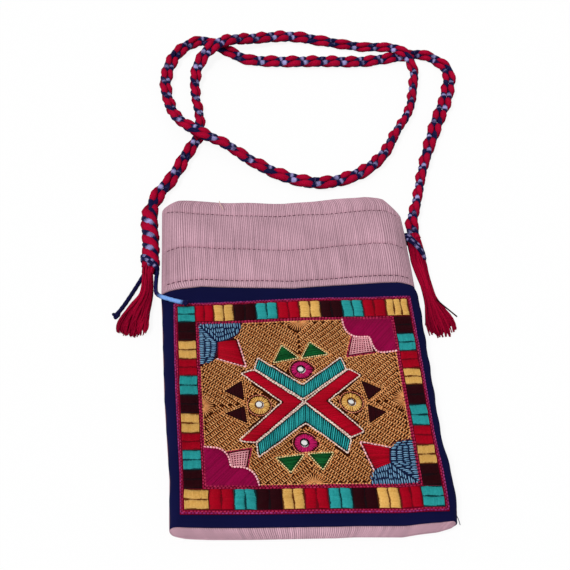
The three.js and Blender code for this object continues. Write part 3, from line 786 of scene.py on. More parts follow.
# The line it lies on, in metres, as (x, y, lift over another stretch)
strapRoute = [
    (-0.0830, 0.0646, 0), (-0.0830, 0.0860, 0), (-0.0832, 0.1060, 0), (-0.0785, 0.1213, 0),
    (-0.0682, 0.1380, 0), (-0.0581, 0.1596, 0), (-0.0504, 0.1750, 0), (-0.0489, 0.1940, 0),
    (-0.0510, 0.2180, 0), (-0.0489, 0.2400, 0.35), (-0.0396, 0.2570, 0.85), (-0.0265, 0.2658, 1),
    (-0.0074, 0.2726, 0.45), (0.0220, 0.2792, 0), (0.0503, 0.2739, 0), (0.0750, 0.2686, 0.1),
    (0.0918, 0.2645, 0.65), (0.1036, 0.2574, 1), (0.1100, 0.2434, 0.35), (0.1078, 0.2280, 0),
    (0.1003, 0.2020, 0), (0.0876, 0.1805, 0), (0.0749, 0.1584, 0), (0.0566, 0.1416, 0), (0.0301, 0.1330, 0),
    (0.0069, 0.1380, 0), (-0.0157, 0.1513, 0.2), (-0.0330, 0.1632, 0.8), (-0.0502, 0.1730, 1),
    (-0.0640, 0.1886, 0.6), (-0.0699, 0.2100, 0), (-0.0710, 0.2320, 0), (-0.0620, 0.2590, 0),
    (-0.0450, 0.2724, 0), (-0.0303, 0.2654, 0), (-0.0132, 0.2536, 0), (0.0044, 0.2514, 0),
    (0.0420, 0.2522, 0), (0.0750, 0.2531, 0), (0.0989, 0.2584, 0), (0.1210, 0.2613, 0), (0.1360, 0.2460, 0),
    (0.1315, 0.2204, 0), (0.1172, 0.1874, 0), (0.1010, 0.1465, 0), (0.0914, 0.1160, 0), (0.0852, 0.0980, 0),
    (0.0842, 0.0846, 0),
]
# How far the flat plait leans on its edge at each of those places, in radians
strapLean = [
    0, 0, 0, 0.3, 0.5, 0.6, 0.8, 0.9, 0.9, 0.6, 0.3, 0, 0.1, 0.1, 0.6, 0.9, 0.9, 0.9, 1.0, 1.0, 1.0, 0.9,
    0.5, 0.1, 0.05, 0.1, 0.3, 0.5, 0.2, 0.5, 0.6, 0.5, 0.4, 0.6, 0.3, 0.6, 0.3, 0.05, 0.4, 0.6, 0.6, 0.3, 0,
    0.1, 0.9, 1.0, 0.6, 0.2,
]


def strapLine():
    flat = np.array(strapRoute)
    lift = strap["thickness"] / 2 + flat[:, 2] * strap["over"]
    points = np.column_stack([flat[:, :2] * 1000, lift * 1000, strapLean])
    return evenSteps(curveThrough(points, 24), strap["steps"])


def strapParts(line, lean):
    # Two red strands side by side, each going over and under a satin strand on a cosine, so that red
    # lenses and short satin bars take turns on top. Near the left end the four wind round each other
    # as a plain rope, and the whole plait leans to and fro
    run = np.linspace(0, lengthOf(line), len(line))
    along = unit(np.gradient(line, axis=0))
    side = unit(np.cross(np.array([0.0, 0.0, 1.0]), along))
    up = np.cross(along, side)
    rope = 1 - smoothStep(run, strap["twistEnd"] - 10, strap["twistEnd"] + 10)
    turn = 2 * math.pi * run / strap["repeat"] + 0.5 * np.sin(run / 37 + 1) + 0.35 * np.sin(run / 19)
    wind = 2 * math.pi * run / strap["twistRepeat"] + 1.1
    wide = 1.36 - 0.38 * np.clip(lean, 0, 1)
    lean = lean * (1 - rope)
    glintStrengths = dice.random(400)
    parts = []
    for strand in range(4):
        red = strand % 2 == 0
        mate = 1 if strand < 2 else -1
        phase = turn + (strap["stagger"] if mate > 0 else 0)
        crest = np.cos(phase) if red else -np.cos(phase)
        beside = mate * wide * strap["yarnSide" if red else "satinSide"]
        across = beside + strap["slant"] * np.sin(phase) * (1 if red else -1)
        rise = strap["weave"] * crest + (0.3 if red else 0.05)
        around = wind + strand * math.pi / 2
        across = (1 - rope) * across + rope * strap["twistSwing"] * np.sin(around)
        rise = (1 - rope) * rise + rope * strap["twistSwing"] * 0.8 * np.cos(around)
        crest = (1 - rope) * crest + rope * np.cos(around)
        spread = across * np.cos(lean) - rise * np.sin(lean)
        lift = rise * np.cos(lean) + 0.75 * across * np.sin(lean)
        path = line + side * spread[:, None] + up * lift[:, None]
        swell = 0.92 + 0.13 * crest + 0.38 * rope if red else 1 + 0.36 * rope
        size = strap["yarnRadius" if red else "satinRadius"] * swell * (0.5 + 0.5 * wide)
        path[:, 2] = np.maximum(path[:, 2], size + 0.05)
        # Painted light and shade: the red is lighter where the strand rides on top and darker where it dips
        # under
        if red:
            tone = 0.14 + 0.34 * crest
        else:
            # Painted highlight: the satin is dark, with a short glint of random strength at each crest
            own = glintStrengths[(strand * 90 + (phase / (2 * math.pi)).astype(int)) % 400]
            shine = np.clip((crest - 0.86) * 11, 0, 1) * (0.1 + 0.9 * own)
            tone = -0.9 + 1.9 * shine
        form = strandForms["yarn" if red else "satin"]
        parts.append(tubes(path[None], size[None], shade=tone[None], **form))
    return parts


strapPlaces = strapLine()
strapPath = strapPlaces[:, :3]
strapPiece = buildPiece(
    "plaited_strap", strapParts(strapPath, strapPlaces[:, 3]),
    [strapFinishes["yarn"], strapFinishes["satin"]], ("strap",), lay=False,
)
print("strap plaited", round(lengthOf(strapPath)), "mm")

# Tassels: stations of x, y, width and thickness down the loose yarn
tassels = {
    "left": {
        "strands": 170,
        "clumps": 1,
        "stations": [
            (-83.8, 67, 8.4, 5.8), (-84.6, 62, 7.8, 6), (-85, 58, 6.9, 5.8), (-85.2, 51, 7.8, 5.6),
            (-86.2, 42, 9.4, 5.6), (-89.8, 33, 14.4, 5.2), (-92.8, 26, 18.6, 4.6), (-94.4, 21, 20.4, 4),
            (-95.4, 15.6, 19, 3),
        ],
    },
    "right": {
        "strands": 160,
        "clumps": 2,
        "stations": [
            (83.2, 88, 7.6, 5.8), (83.9, 83, 9, 6), (84.3, 74, 10, 6), (84.3, 67, 9.8, 5.8),
            (85, 59, 9.2, 5.6), (86, 49, 8.2, 5.4), (86.8, 39, 7.8, 5.2), (88.6, 29, 14.6, 4.8),
            (90, 20.5, 20.4, 4.2), (90.8, 11, 21, 3),
        ],
    },
}


def tasselParts(facts):
    # Each strand keeps its place in its clump, turns slowly round it, and ends at its own length
    stations = curveThrough(facts["stations"], 4)
    steps, count, joints = len(stations), facts["strands"], 24
    centre = stations[:, :2]
    along = unit(np.gradient(centre, axis=0))
    side = np.stack([-along[:, 1], along[:, 0]], axis=1)
    reach = np.sqrt(dice.random(count)) * 0.86
    turn = dice.random(count) * 2 * math.pi
    down = np.linspace(0, 1, steps)
    loose = smoothStep(down, 0.45, 0.8)
    wound = turn[:, None] + 0.5 * np.sin(down * 8 + 1)
    phase = dice.random((count, 2)) * 6
    spread = reach * np.cos(turn)
    parted = (facts["clumps"] - 1) * 0.14 * np.sign(spread)[:, None] * np.exp(-(((down - 0.36) / 0.12) ** 2))
    tuft = np.round(spread * 2.4) / 2.4 * 0.28 + spread * 0.76
    across = spread[:, None] * (1 - loose) + tuft[:, None] * loose + parted
    across = across + 0.06 * (0.4 + down) * np.sin(down * 12 + phase[:, :1])
    over = reach[:, None] * np.sin(wound) + 0.14 * np.sin(down * 13 + phase[:, 1:])
    short = 1 - 0.08 * dice.random(count) ** 1.5 - 0.1 * spread**2 - 0.02 * np.cos(spread * 14)
    share = np.linspace(0, 1, joints)[None]
    places = share * short[:, None]
    lines = np.zeros((count, joints, 3))
    width, thick = stations[:, 2] / 2, stations[:, 3] / 2
    for number in range(count):
        at = places[number]
        off = np.interp(at, down, across[number] * width)
        lift = np.interp(at, down, thick + np.clip(over[number], -0.9, 0.9) * (thick - 0.4))
        for axis in range(2):
            middle = np.interp(at, down, centre[:, axis])
            lines[number, :, axis] = middle + np.interp(at, down, side[:, axis]) * off
        lines[number, :, 2] = np.maximum(lift, 0.7)
    bumps = np.sin(np.linspace(0, 26, joints)[None] + phase[:, :1])
    size = 0.46 + 0.12 * dice.random((count, 1)) + 0.08 * bumps
    size = size * np.clip(1.15 - 0.5 * share**6, 0, 1)
    # Painted light and shade: strands higher in the bundle are lighter, lower ones darker, and all get
    # lighter towards their loose ends as painted highlight
    high = np.clip((lines[:, :, 2] - 1.5) / 3.5, 0, 1)
    shade = -0.2 + 0.8 * high * (0.5 + 0.7 * dice.random((count, 1))) + 0.25 * share**2
    strandForm = dict(sides=6, flat=0.9, ridges=2, ridgeDepth=0.08, twist=2.0, paintedTopLight=0.15)
    return [tubes(lines, size, shade=shade, **strandForm)]


for name, facts in tassels.items():
    parts, finishes = tasselParts(facts), [strapFinishes["yarn"]]
    piece = buildPiece(f"loose_yarn_{name}", parts, finishes, (f"tassel_{name}",), lay=False)
print("tassels spread")

# Satin cord ends: their lines in metres, and a small knot at each tip
satin = {"diameter": 0.0026, "knot": 0.78}
satinRoutes = {
    "hanging": [
        (-0.0868, 0.0600, 0.0024), (-0.0884, 0.0568, 0.0021), (-0.0902, 0.0534, 0.00184),
        (-0.0942, 0.0456, 0.00184), (-0.0989, 0.0370, 0.00184), (-0.1034, 0.0300, 0.00184),
    ],
    "front": [
        (-0.0797, 0.0574, 0.0024), (-0.0802, 0.0500, 0.0027), (-0.0799, 0.0436, 0.0054),
        (-0.0778, 0.0382, 0.0094), (-0.0736, 0.0342, 0.0124), (-0.0688, 0.0316, 0.0136),
        (-0.0632, 0.0296, 0.0143),
    ],
}


def knotLine(centre, size):
    # A trefoil: one line that passes three times round and through itself
    turn = np.linspace(0, 2 * math.pi, 49)
    x = np.sin(turn) + 2 * np.sin(2 * turn)
    y = np.cos(turn) - 2 * np.cos(2 * turn)
    return np.asarray(centre) + size * np.stack([x * 0.8, y * 0.8, -0.75 * np.sin(3 * turn)], axis=1)


satinForm = dict(ridges=2, ridgeDepth=0.05, twist=1.6)
for name, route in satinRoutes.items():
    line = evenSteps(curveThrough(np.array(route) * 1000, 10), 44)
    tip = line[-1] + np.array([0, 0, 0.2])
    finish = strapFinishes["satin" if name == "hanging" else "satinBlue"]
    share = np.linspace(0, 1, len(line))
    # Painted highlight along the cord: faint, growing towards the hanging one's tip, and a bright stretch
    # before the front one's knot
    lit = 0.1 * share
    if name == "front":
        lit = smoothStep(share, 0.42, 0.66) * (1 - smoothStep(share, 0.9, 1.0))
    shade = -0.9 + 1.95 * lit
    knot = knotLine(tip, satin["knot"] * (1 if name == "hanging" else 0.7))
    parts = [
        tubes(line[None], satin["diameter"] * 500, sides=10, shade=shade[None], **satinForm, paintedTopLight=0.1),
        tubes(knot[None], 0.8, sides=7, shade=-0.8, finish=1, paintedTopLight=0.12),
    ]
    finishes = [finish, strapFinishes["satin"]]
    piece = buildPiece(f"satin_cord_{name}", parts, finishes, (f"satin_end_{name}",), lay=False)

# Corduroy back, turned up round the base so that a strip shows at the front
corduroy = {"wales": 142, "relief": 0.24, "step": 5.0}
wales = corduroy["wales"]
waleShares = np.linspace(-1, 1, 3 * wales + 1)
waleRelief = np.array([0.0, 1.0, 1.0])[np.arange(3 * wales + 1) % 3] * corduroy["relief"]


def corduroyShell(outerRows, innerRows):
    outer, outward, uv = clothRows(outerRows, waleShares)
    inner = clothRows(innerRows, waleShares)[0]
    outer = outer + outward * waleRelief[None, :, None]
    uv[..., 0] = waleShares[None, :] * wales * walePitch * 0.0005
    return shell(outer, inner, uv)


def corduroyPiece(name, rowsAt, replaced):
    part = corduroyShell(rowsAt(0), rowsAt(pouch["wall"]))
    return buildPiece(name, [part], [cloths["corduroy"]], (replaced,))


def backRows(depth):
    # From the mouth down the back, round the base and a little up the front, with a rounded brim
    wall = pouch["wall"]
    rows = [(halfLength, 1, 0.5 if not depth else wall - 0.5, -1, 0)]
    rows.append((halfLength - 0.5, 1, depth, -1, 0))
    rows += [(halfLength - item, 1, depth, -1, 0) for item in (1, 1.7, 2.6, 3.8, 5.4, 7.4, 9.6)]
    rows += [(y, 1, depth, -1, 0) for y in np.arange(halfLength - 12, -halfLength + 6, -corduroy["step"])]
    angles = np.radians([90, 72, 54, 36, 18, 2])
    centre = -halfLength + pouch["baseRoll"]
    reach = pouch["baseRoll"] - depth
    rows += [(centre - reach * math.cos(a), math.sin(a), depth, -1, 0) for a in angles]
    rows += [(centre - reach * math.cos(a), math.sin(a), depth, 1, 0) for a in angles[::-1]]
    return rows


backPiece = corduroyPiece("corduroy_back", backRows, "back_panel")


def bandRows(depth):
    # Puffed between its lines of stitching, creased along them, with both edges folded over
    start = pouch["bandSeam"] + pouch["clearance"] / 2
    lines = [start, *pouch["stitchRows"], halfLength]
    edge = 0.5 if not depth else pouch["wall"] - 0.5
    rows = [(start, 1, edge, 1, 0)]
    inner = [
        np.linspace(low, high, max(4, int((high - low) / 2)), endpoint=False) + 0.35
        for low, high in zip(lines, lines[1:])
    ]
    extra = np.concatenate([[line - 0.6, line, line + 0.6] for line in pouch["stitchRows"]])
    brim = halfLength - np.array([0.4, 1, 1.7, 2.6, 3.8])
    places = np.unique(np.round(np.concatenate([*inner, extra, brim]), 3))
    places = places[(places > start + 0.1) & (places < halfLength - 0.05)]
    for y in places:
        puff = 0.0
        if not depth:
            for low, high in zip(lines, lines[1:]):
                if low <= y <= high:
                    full = pouch["puff"] if high - low > 12 else 0.35
                    puff = full * math.sqrt(max(math.sin(math.pi * (y - low) / (high - low)), 0))
            gap = min(abs(y - line) for line in pouch["stitchRows"])
            puff -= pouch["crease"] * math.exp(-((gap / 0.7) ** 2))
        rows.append((y, 1, depth, 1, puff))
    rows.append((halfLength, 1, edge, 1, 0))
    return rows


bandPiece = corduroyPiece("corduroy_band", bandRows, "top_band")


def bandStitches():
    # Dashes of dark sewing thread in each crease: their dark colour is partly the thread's own and partly
    # painted shade of the crease
    starts, ends = [], []
    for y in pouch["stitchRows"]:
        x = np.arange(-74, 72, 3.1)
        row = [(x, y), (x + 2.3, y)]
        for target, (places, height) in zip((starts, ends), row):
            shares = places / 82.0
            surface = clothRows([(height, 1, 0, 1, -pouch["crease"] + 0.35)], shares)[0][0]
            target.append(surface)
    return threads(np.concatenate(starts), np.concatenate(ends), 0.4, 0.12, 0, 0.8)


buildPiece("band_sewing_thread", [bandStitches()], [yarns["sewingAndCreaseShade"]])
print("corduroy sewn")

# Navy front panel, drawn up a little where the patch is sewn on
navy = {"columns": 120, "ripple": 0.3, "wave": 19.0}


def navyRows(depth):
    low = -halfLength + pouch["baseRoll"] + pouch["clearance"]
    high = pouch["bandSeam"] - pouch["clearance"] / 2
    edge = 0.5 if not depth else pouch["wall"] - 0.5
    rows = [(low, 1, edge, 1, 0)]
    rows += [(y, 1, depth, 1, 0) for y in np.linspace(low + 0.4, high - 0.4, 76)]
    rows.append((high, 1, edge, 1, 0))
    return rows


def navyPanel():
    shares = np.linspace(-1, 1, navy["columns"] + 1)
    outer, outward, uv = clothRows(navyRows(0), shares)
    inner = clothRows(navyRows(pouch["wall"]), shares)[0]
    x, y = outer[..., 0], outer[..., 1]
    near = smoothStep(np.abs(x), 70.5, 74.5)
    fold = np.sin(y * 2 * math.pi / navy["wave"] + 0.8 * np.sin(y / 23)) * navy["ripple"] * near
    outer = outer + outward * fold[..., None]
    return shell(outer, inner, uv)


navyPiece = buildPiece("navy_front", [navyPanel()], [cloths["navy"]], ("navy_panel",))


def liningBag():
    # An inner bag: down its outside from the mouth to the base seam, and back up its inside
    shares = np.linspace(-1, 1, 61)
    outside = pouch["wall"] + pouch["clearance"]
    inside = outside + pouch["liningWall"]
    mouth = halfLength - 3
    rings = []
    for depth, order in ((outside, 1), (inside, -1)):
        base = -halfLength + pouch["baseRoll"]
        reach = pouch["baseRoll"] - depth
        straight = [(y, 1.0) for y in np.linspace(mouth, -halfLength + 6, 40)]
        turned = [(base - reach * math.cos(a), math.sin(a)) for a in np.radians([90, 60, 30, 4])]
        rows = straight + turned
        top = clothRows([(y, lift, depth, 1, 0) for y, lift in rows], shares)[0]
        under = clothRows([(y, lift, depth, -1, 0) for y, lift in rows], shares)[0]
        ring = np.concatenate([top, under[:, ::-1]], axis=1)
        rings.append(ring if order == 1 else ring[::-1])
    loop = np.concatenate(rings)
    rows, columns = loop.shape[:2]
    index = np.arange(rows * columns).reshape(rows, columns)
    side = np.roll(index, -1, axis=1)
    half = rows // 2
    bands = []
    for first, last in ((0, half - 1), (half, rows - 1)):
        near, far = slice(first, last), slice(first + 1, last + 1)
        bands.append(np.stack([index[near], side[near], side[far], index[far]], axis=-1).reshape(-1, 4))
    rim = np.stack([index[-1], side[-1], side[0], index[0]], axis=-1)
    across = columns // 2
    caps = []
    for row, flip in ((half - 1, 1), (half, -1)):
        top, under = index[row, :across], index[row, across:][::-1]
        caps.append(np.stack([top[:-1], top[1:], under[1:], under[:-1]], axis=-1)[:, ::flip])
    return onePart(loop, [*bands, rim, *caps], loop[..., :2] * 0.001)


liningPiece = buildPiece("lining_bag", [liningBag()], [cloths["lining"]], ("lining",))
print("front and lining sewn")

# Patch: a crimson cloth with couched edgings and a border of satin blocks
patch = {
    "width": 140.4,
    "height": 133.8,
    "y": -34.9,
    "ground": 0.8,
    "edging": 1.3,
    "across": 10.9,
    "down": 12.4,
    "spacing": 0.35,
    "margin": 2.3,
    "count": 11,
    "threadPitch": 0.62,
    "threadRadius": 0.37,
}
groundTop = pouch["thickness"] + patch["ground"]
fieldTop = groundTop + 0.3
borderStops = {
    "top": (-58, -47.3, -35.4, -22.6, -9.8, 3, 15.9, 28.8, 41.7, 54.4),
    "bottom": (-55, -42, -30.3, -17, -5.3, 7.3, 19.9, 33, 45.1, 56.4),
    "left": (53.2, 40.4, 27.6, 16.6, 3.9, -7.6, -20, -30.2, -42, -52.8),
    "right": (52.7, 41, 29.2, 17.7, 7, -5.3, -18.1, -29.5, -40.8, -52.9),
}
borderColours = {"top": "trgmtrgmtrg", "bottom": "grtmgrtmgrt", "left": "tmgrtmgrtmg", "right": "gmtrgmtrgmt"}
colourNames = {"t": "teal", "g": "gold", "r": "red", "m": "maroon"}
fieldHalf = (
    patch["width"] / 2 - 2 * patch["edging"] - patch["across"],
    patch["height"] / 2 - 2 * patch["edging"] - patch["down"],
)


def slabPart(halfX, halfY, low, high, steps=24):
    # A thin cloth: upper and lower face as one closed loop of rows
    x = np.linspace(-halfX, halfX, steps + 1)
    y = patch["y"] + np.linspace(-halfY, halfY, steps + 1)
    gridX, gridY = np.meshgrid(x, y)
    upper = np.stack([gridX, gridY, np.full_like(gridX, high)], axis=-1)
    lower = np.stack([gridX, gridY, np.full_like(gridX, low)], axis=-1)
    return shell(upper, lower, upper[..., :2] * 0.001)


def couched(line, level, radius=0.42, stitch=1.7, gap=0.12, closed=True, jitter=0.06):
    # Short stitches end to end along a line
    line = np.asarray(line, float)
    if closed:
        line = np.vstack([line, line[:1]])
    count = max(3, int(round(lengthOf(line) / stitch)))
    places = evenSteps(line, count + 1)
    places = places + dice.normal(0, jitter, places.shape)
    run = unit(places[1:] - places[:-1])
    starts, ends = places[:-1] + run * gap / 2, places[1:] - run * gap / 2
    return threads(atLevel(starts, level), atLevel(ends, level), radius, arch=0.15, flat=0.85)


def rectangle(halfX, halfY):
    low, high = patch["y"] - halfY, patch["y"] + halfY
    return [(-halfX, low), (halfX, low), (halfX, high), (-halfX, high)]


def borderBlocks():
    # Each side is a row of blocks between its stops; the corner blocks belong to the top and bottom rows
    last = patch["count"] - 1
    halfX, halfY = patch["width"] / 2, patch["height"] / 2
    blocks = []
    for side, letters in borderColours.items():
        level = side in ("top", "bottom")
        end = (halfX if level else -halfY) - math.copysign(patch["margin"], 1 if level else -1)
        stops = [-end, *borderStops[side], end]
        outward = {"top": 1, "bottom": -1, "left": -1, "right": 1}[side]
        deep = patch["down"] if level else patch["across"]
        edge = (halfY if level else halfX) - patch["margin"]
        inner = (halfY if level else halfX) - patch["edging"] - deep
        for index, letter in enumerate(letters):
            atCorner = index in (0, last)
            if atCorner and not level:
                continue
            low, high = sorted((stops[index], stops[index + 1]))
            size = high - low - patch["spacing"]
            middle = (low + high) / 2
            depth = (edge + inner) / 2 * outward
            if level:
                centre = (middle, patch["y"] + depth)
                spread = (size, edge - inner - patch["spacing"])
            else:
                centre = (depth, patch["y"] + middle)
                spread = (edge - inner - patch["spacing"], size)
            bars = 3 if side == "top" and index == last else 2
            upright = level and (not atCorner or bars == 3)
            colour = colourNames[letter]
            blocks.append((f"{colour}_block_{side}_{index + 1}", colour, centre, spread, bars, upright))
    return blocks


def satinBlock(centre, spread, bars, upright):
    # Bars of satin stitch side by side: threads lie across each bar and are padded up in its middle
    width, length = spread if upright else spread[::-1]
    pitch = width / bars
    shift = np.array(centre)
    parts = []
    for bar in range(bars):
        middle = -width / 2 + (bar + 0.5) * pitch
        count = int(round(length / patch["threadPitch"]))
        run = (np.arange(count) + 0.5) / count * length - length / 2
        lean = dice.normal(0, 0.06)
        slope = dice.normal(0, 0.02)
        wave = 0.2 * np.sin(run * 0.6 + dice.random() * 6)
        edge = pitch / 2 - 0.22
        low = middle - edge + slope * run + wave + dice.normal(0, 0.09, count)
        high = middle + edge + slope * run + wave + dice.normal(0, 0.09, count)
        starts = np.stack([low, run - lean * edge], axis=1)
        ends = np.stack([high, run + lean * edge], axis=1)
        if not upright:
            starts, ends = starts[:, ::-1] * [1, -1], ends[:, ::-1] * [1, -1]
        level = groundTop + 0.3
        # The thread ends get a painted highlight
        stitches = threads(
            atLevel(starts + shift, level), atLevel(ends + shift, level), patch["threadRadius"], arch=0.5,
            flat=0.95, shade=0.35 + 0.35 * dice.random(count), places=(0.05, 0.28, 0.72, 0.95), paintedTipHighlight=0.35,
        )
        parts.append(stitches)
    # A pad in the colour's dark tone under the bars: it shows in the gaps between them as painted shade
    halfX, halfY = (np.array(spread) + patch["spacing"]) / 2
    pad = shift + np.array([(-halfX, -halfY), (halfX, -halfY), (halfX, halfY), (-halfX, halfY)])
    ground = prism(pad, groundTop, groundTop + 0.42, 0.4, 0.1)
    ground["finish"] = 1
    parts.append(ground)
    return parts


patchCloth = slabPart(patch["width"] / 2, patch["height"] / 2, pouch["thickness"], groundTop)
patchPiece = buildPiece("patch_cloth", [patchCloth], [cloths["ground"]], ("patch_ground",))
edges = []
for inset, finish in ((0.45, 0), (1.35, 1)):
    line = rectangle(patch["width"] / 2 - inset, patch["height"] / 2 - inset)
    edge = couched(line, groundTop + 0.22, radius=0.46, stitch=1.9, gap=0.3, jitter=0.1)
    edge["finish"] = finish
    edges.append(edge)
finishes = [yarns["edging"], yarns["crimson"]]
buildPiece("couched_edge_outer", edges, finishes, ("patch_ground",))
inner = []
for outset, level in ((0.7, 0.3), (-0.35, 0.5)):
    line = rectangle(fieldHalf[0] + outset, fieldHalf[1] + outset)
    inner.append(couched(line, groundTop + level, radius=0.5, stitch=1.9, gap=0.35, jitter=0.1))
buildPiece("couched_edge_inner", inner, [yarns["crimson"]], ("patch_ground",))

grounded = {"red": [], "maroon": []}
for name, colour, centre, spread, bars, upright in borderBlocks():
    parts = satinBlock(centre, spread, bars, upright)
    if colour in grounded:
        grounded[colour] += parts
    else:
        finishes = [yarns[colour], yarns[f"{colour}Ground"]]
        buildPiece(f"satin_{name}", parts, finishes, (name,))
for colour, parts in grounded.items():
    finishes = [yarns[colour], yarns[f"{colour}Ground"]]
    buildPiece(f"satin_{colour}_blocks", parts, finishes, ("patch_ground",))
print("border blocks stitched")

# Motifs: colour, outline as worked, and the number of the corner that a triangle's stitches start from
motifs = {
    "chevron_teal_top": (
        "teal",
        [(-22.9, -9.4), (-24.7, -14.4), (0, -33.8), (24.8, -16.2), (23.4, -10.5), (0.6, -27.3)],
    ),
    "chevron_teal_bottom": (
        "teal",
        [(-26.6, -67.7), (-27, -61.7), (0.6, -39), (22, -60.6), (19.9, -66.6), (-0.4, -48.5)],
    ),
    "chevron_red_left": (
        "red",
        [(-31.3, -18), (-26.3, -16.4), (-1.7, -36.7), (-29.1, -60.1), (-35.3, -59.1), (-10.5, -36.5)],
    ),
    "chevron_red_right": (
        "red",
        [(27.5, -17.6), (32.2, -20.4), (11.9, -36.6), (29.5, -55.2), (23.5, -57.9), (2.2, -36.8)],
    ),
    "triangle_green_top_left": ("green", [(-9.2, -1.1), (-13.4, -9.9), (-2.1, -7.8)], 0),
    "triangle_green_top_right": ("green", [(7.2, 0.6), (2.9, -7.6), (14.8, -5.8)], 0),
    "triangle_green_bottom_left": ("green", [(-16.8, -71.2), (-5.3, -69.9), (-11.4, -77.8)], 2),
    "triangle_green_bottom_right": ("green", [(0.5, -69.3), (11, -68.9), (5.8, -76.5)], 2),
    "triangle_maroon_left_upper": ("maroon", [(-42.4, -28.7), (-33.9, -23), (-33.4, -33.8)], 0),
    "triangle_maroon_left_lower": ("maroon", [(-42.6, -43), (-33.5, -39), (-32.9, -48.2)], 0),
    "triangle_maroon_right_upper": ("maroon", [(34.5, -24.7), (43.8, -29.5), (36.5, -35.5)], 1),
    "triangle_maroon_right_lower": ("maroon", [(35.9, -39.9), (44.2, -43.9), (35.4, -49.7)], 1),
    "corner_top_left": (
        "blue",
        [
            (-56.6, 16.9), (-32, 16.9), (-33.2, 11), (-37.5, 6.6), (-46, 3.8), (-46.8, -2.5), (-49.2, -8.8),
            (-56.6, -11.2),
        ],
        4,
    ),
    "corner_top_right": (
        "magenta",
        [
            (56.6, 16.9), (27.6, 16.9), (29, 9.4), (33.6, 5.5), (42.6, 5.3), (43.7, -0.7), (46.2, -5.1),
            (56.6, -5.8),
        ],
        4,
    ),
    "corner_bottom_left": (
        "magenta",
        [
            (-56.6, -86.7), (-56.6, -63.6), (-48, -64.6), (-43.9, -68.9), (-42.6, -75.5), (-34.4, -76.4),
            (-30.1, -80.4), (-28.5, -86.7),
        ],
        4,
    ),
    "corner_bottom_right": (
        "blue",
        [
            (56.6, -86.7), (56.6, -61.6), (46.4, -63), (43.4, -68.4), (42.8, -74), (35.8, -76.3),
            (31.6, -81), (31.2, -86.7),
        ],
        4,
    ),
    "wedge_top_left": ("red", [(-45.6, 3.2), (-35.4, 4.3), (-31.8, -11.6), (-45.9, -6.6)]),
    "wedge_top_right": ("blush", [(32.9, 5.2), (42, 5.2), (43.4, -4.3), (29.1, -6.8)]),
    "wedge_bottom_left": ("blush", [(-43.2, -67.6), (-32.6, -65.8), (-34.9, -75.1), (-42, -75.5)]),
    "wedge_bottom_right": ("red", [(29.4, -63.2), (43.4, -66.2), (42.4, -73.9), (34, -77.2)]),
}
mirrors = {
    "top": ("magenta", 0.5, -16.1),
    "left": ("gold", -24.7, -38),
    "right": ("gold", 26.6, -37.6),
    "bottom": ("magenta", -2.3, -62.2),
}
roundedRun = (0.08, 0.35, 0.65, 0.92)
stitch = {"grow": 0.45, "line": 1.15, "pad": 0.45, "ringOuter": 6.1, "ringInner": 2.5}


def ruled(railA, railB, pitch, radius, level, arch=0.35, jitter=0.08, flat=0.9):
    # Threads from one rail to the other, at equal shares of both
    railA, railB = np.asarray(railA, float), np.asarray(railB, float)
    count = max(2, int(round((lengthOf(railA) + lengthOf(railB)) / 2 / pitch)))
    shares = (np.arange(count) + 0.5) / count
    places = []
    for rail in (railA, railB):
        run = runAlong(rail)
        places.append(pointsAt(rail, run, shares * run[-1]))
    starts, ends = (place + dice.normal(0, jitter, place.shape) for place in places)
    long = np.linalg.norm(ends - starts, axis=1) > 0.7
    starts, ends = starts[long], ends[long]
    return threads(
        atLevel(starts, level), atLevel(ends, level), radius, arch=arch, flat=flat, places=roundedRun
    )


def cornerStrokes(shape, inner, mark, level, radius):
    # Rows of strokes square to each of the two straight edges, up to the mitre or the lobe
    parts = []
    for end, lobe in ((shape[1], inner[: len(inner) // 2 + 1]), (shape[-1], inner[len(inner) // 2 :][::-1])):
        run = end - shape[0]
        reach = float(np.linalg.norm(run))
        along = run / reach
        inward = np.array([-along[1], along[0]])
        inward = inward * np.sign(inward @ (shape[mark] - shape[0]))
        leg = np.vstack([shape[:1], lobe, shape[mark : mark + 1]])
        even = np.arange(0.6, reach, 1.22)
        places = shape[0] + along * (even + dice.normal(0, 0.1, len(even)))[:, None]
        depths = np.arange(0.2, 24, 0.2)
        grid = places[:, None] + inward * depths[None, :, None]
        hit = insideOf(leg, grid.reshape(-1, 2)).reshape(len(places), -1)
        deep = (hit * depths).max(axis=1)
        low = np.where(hit.any(axis=1), depths[hit.argmax(axis=1)], 0) - 0.1
        rows = np.maximum(1, np.round((deep - low) / 3.4)).astype(int)
        for row in range(int(rows.max())):
            used = (rows > row) & (deep - low > 1.2)
            first = (low + (deep - low) * row / rows + 0.25)[used, None]
            last = (low + (deep - low) * (row + 1) / rows - 0.25)[used, None]
            count = int(used.sum())
            shifted = places[used] + along * (0.35 if row % 2 else 0) + dice.normal(0, 0.1, (count, 2))
            tilt = along * dice.normal(0.15, 0.12, (count, 1))
            starts, ends = shifted + inward * first, shifted + inward * last + tilt
            parts.append(threads(atLevel(starts, level), atLevel(ends, level), radius, arch=0.25, flat=0.9))
    return parts


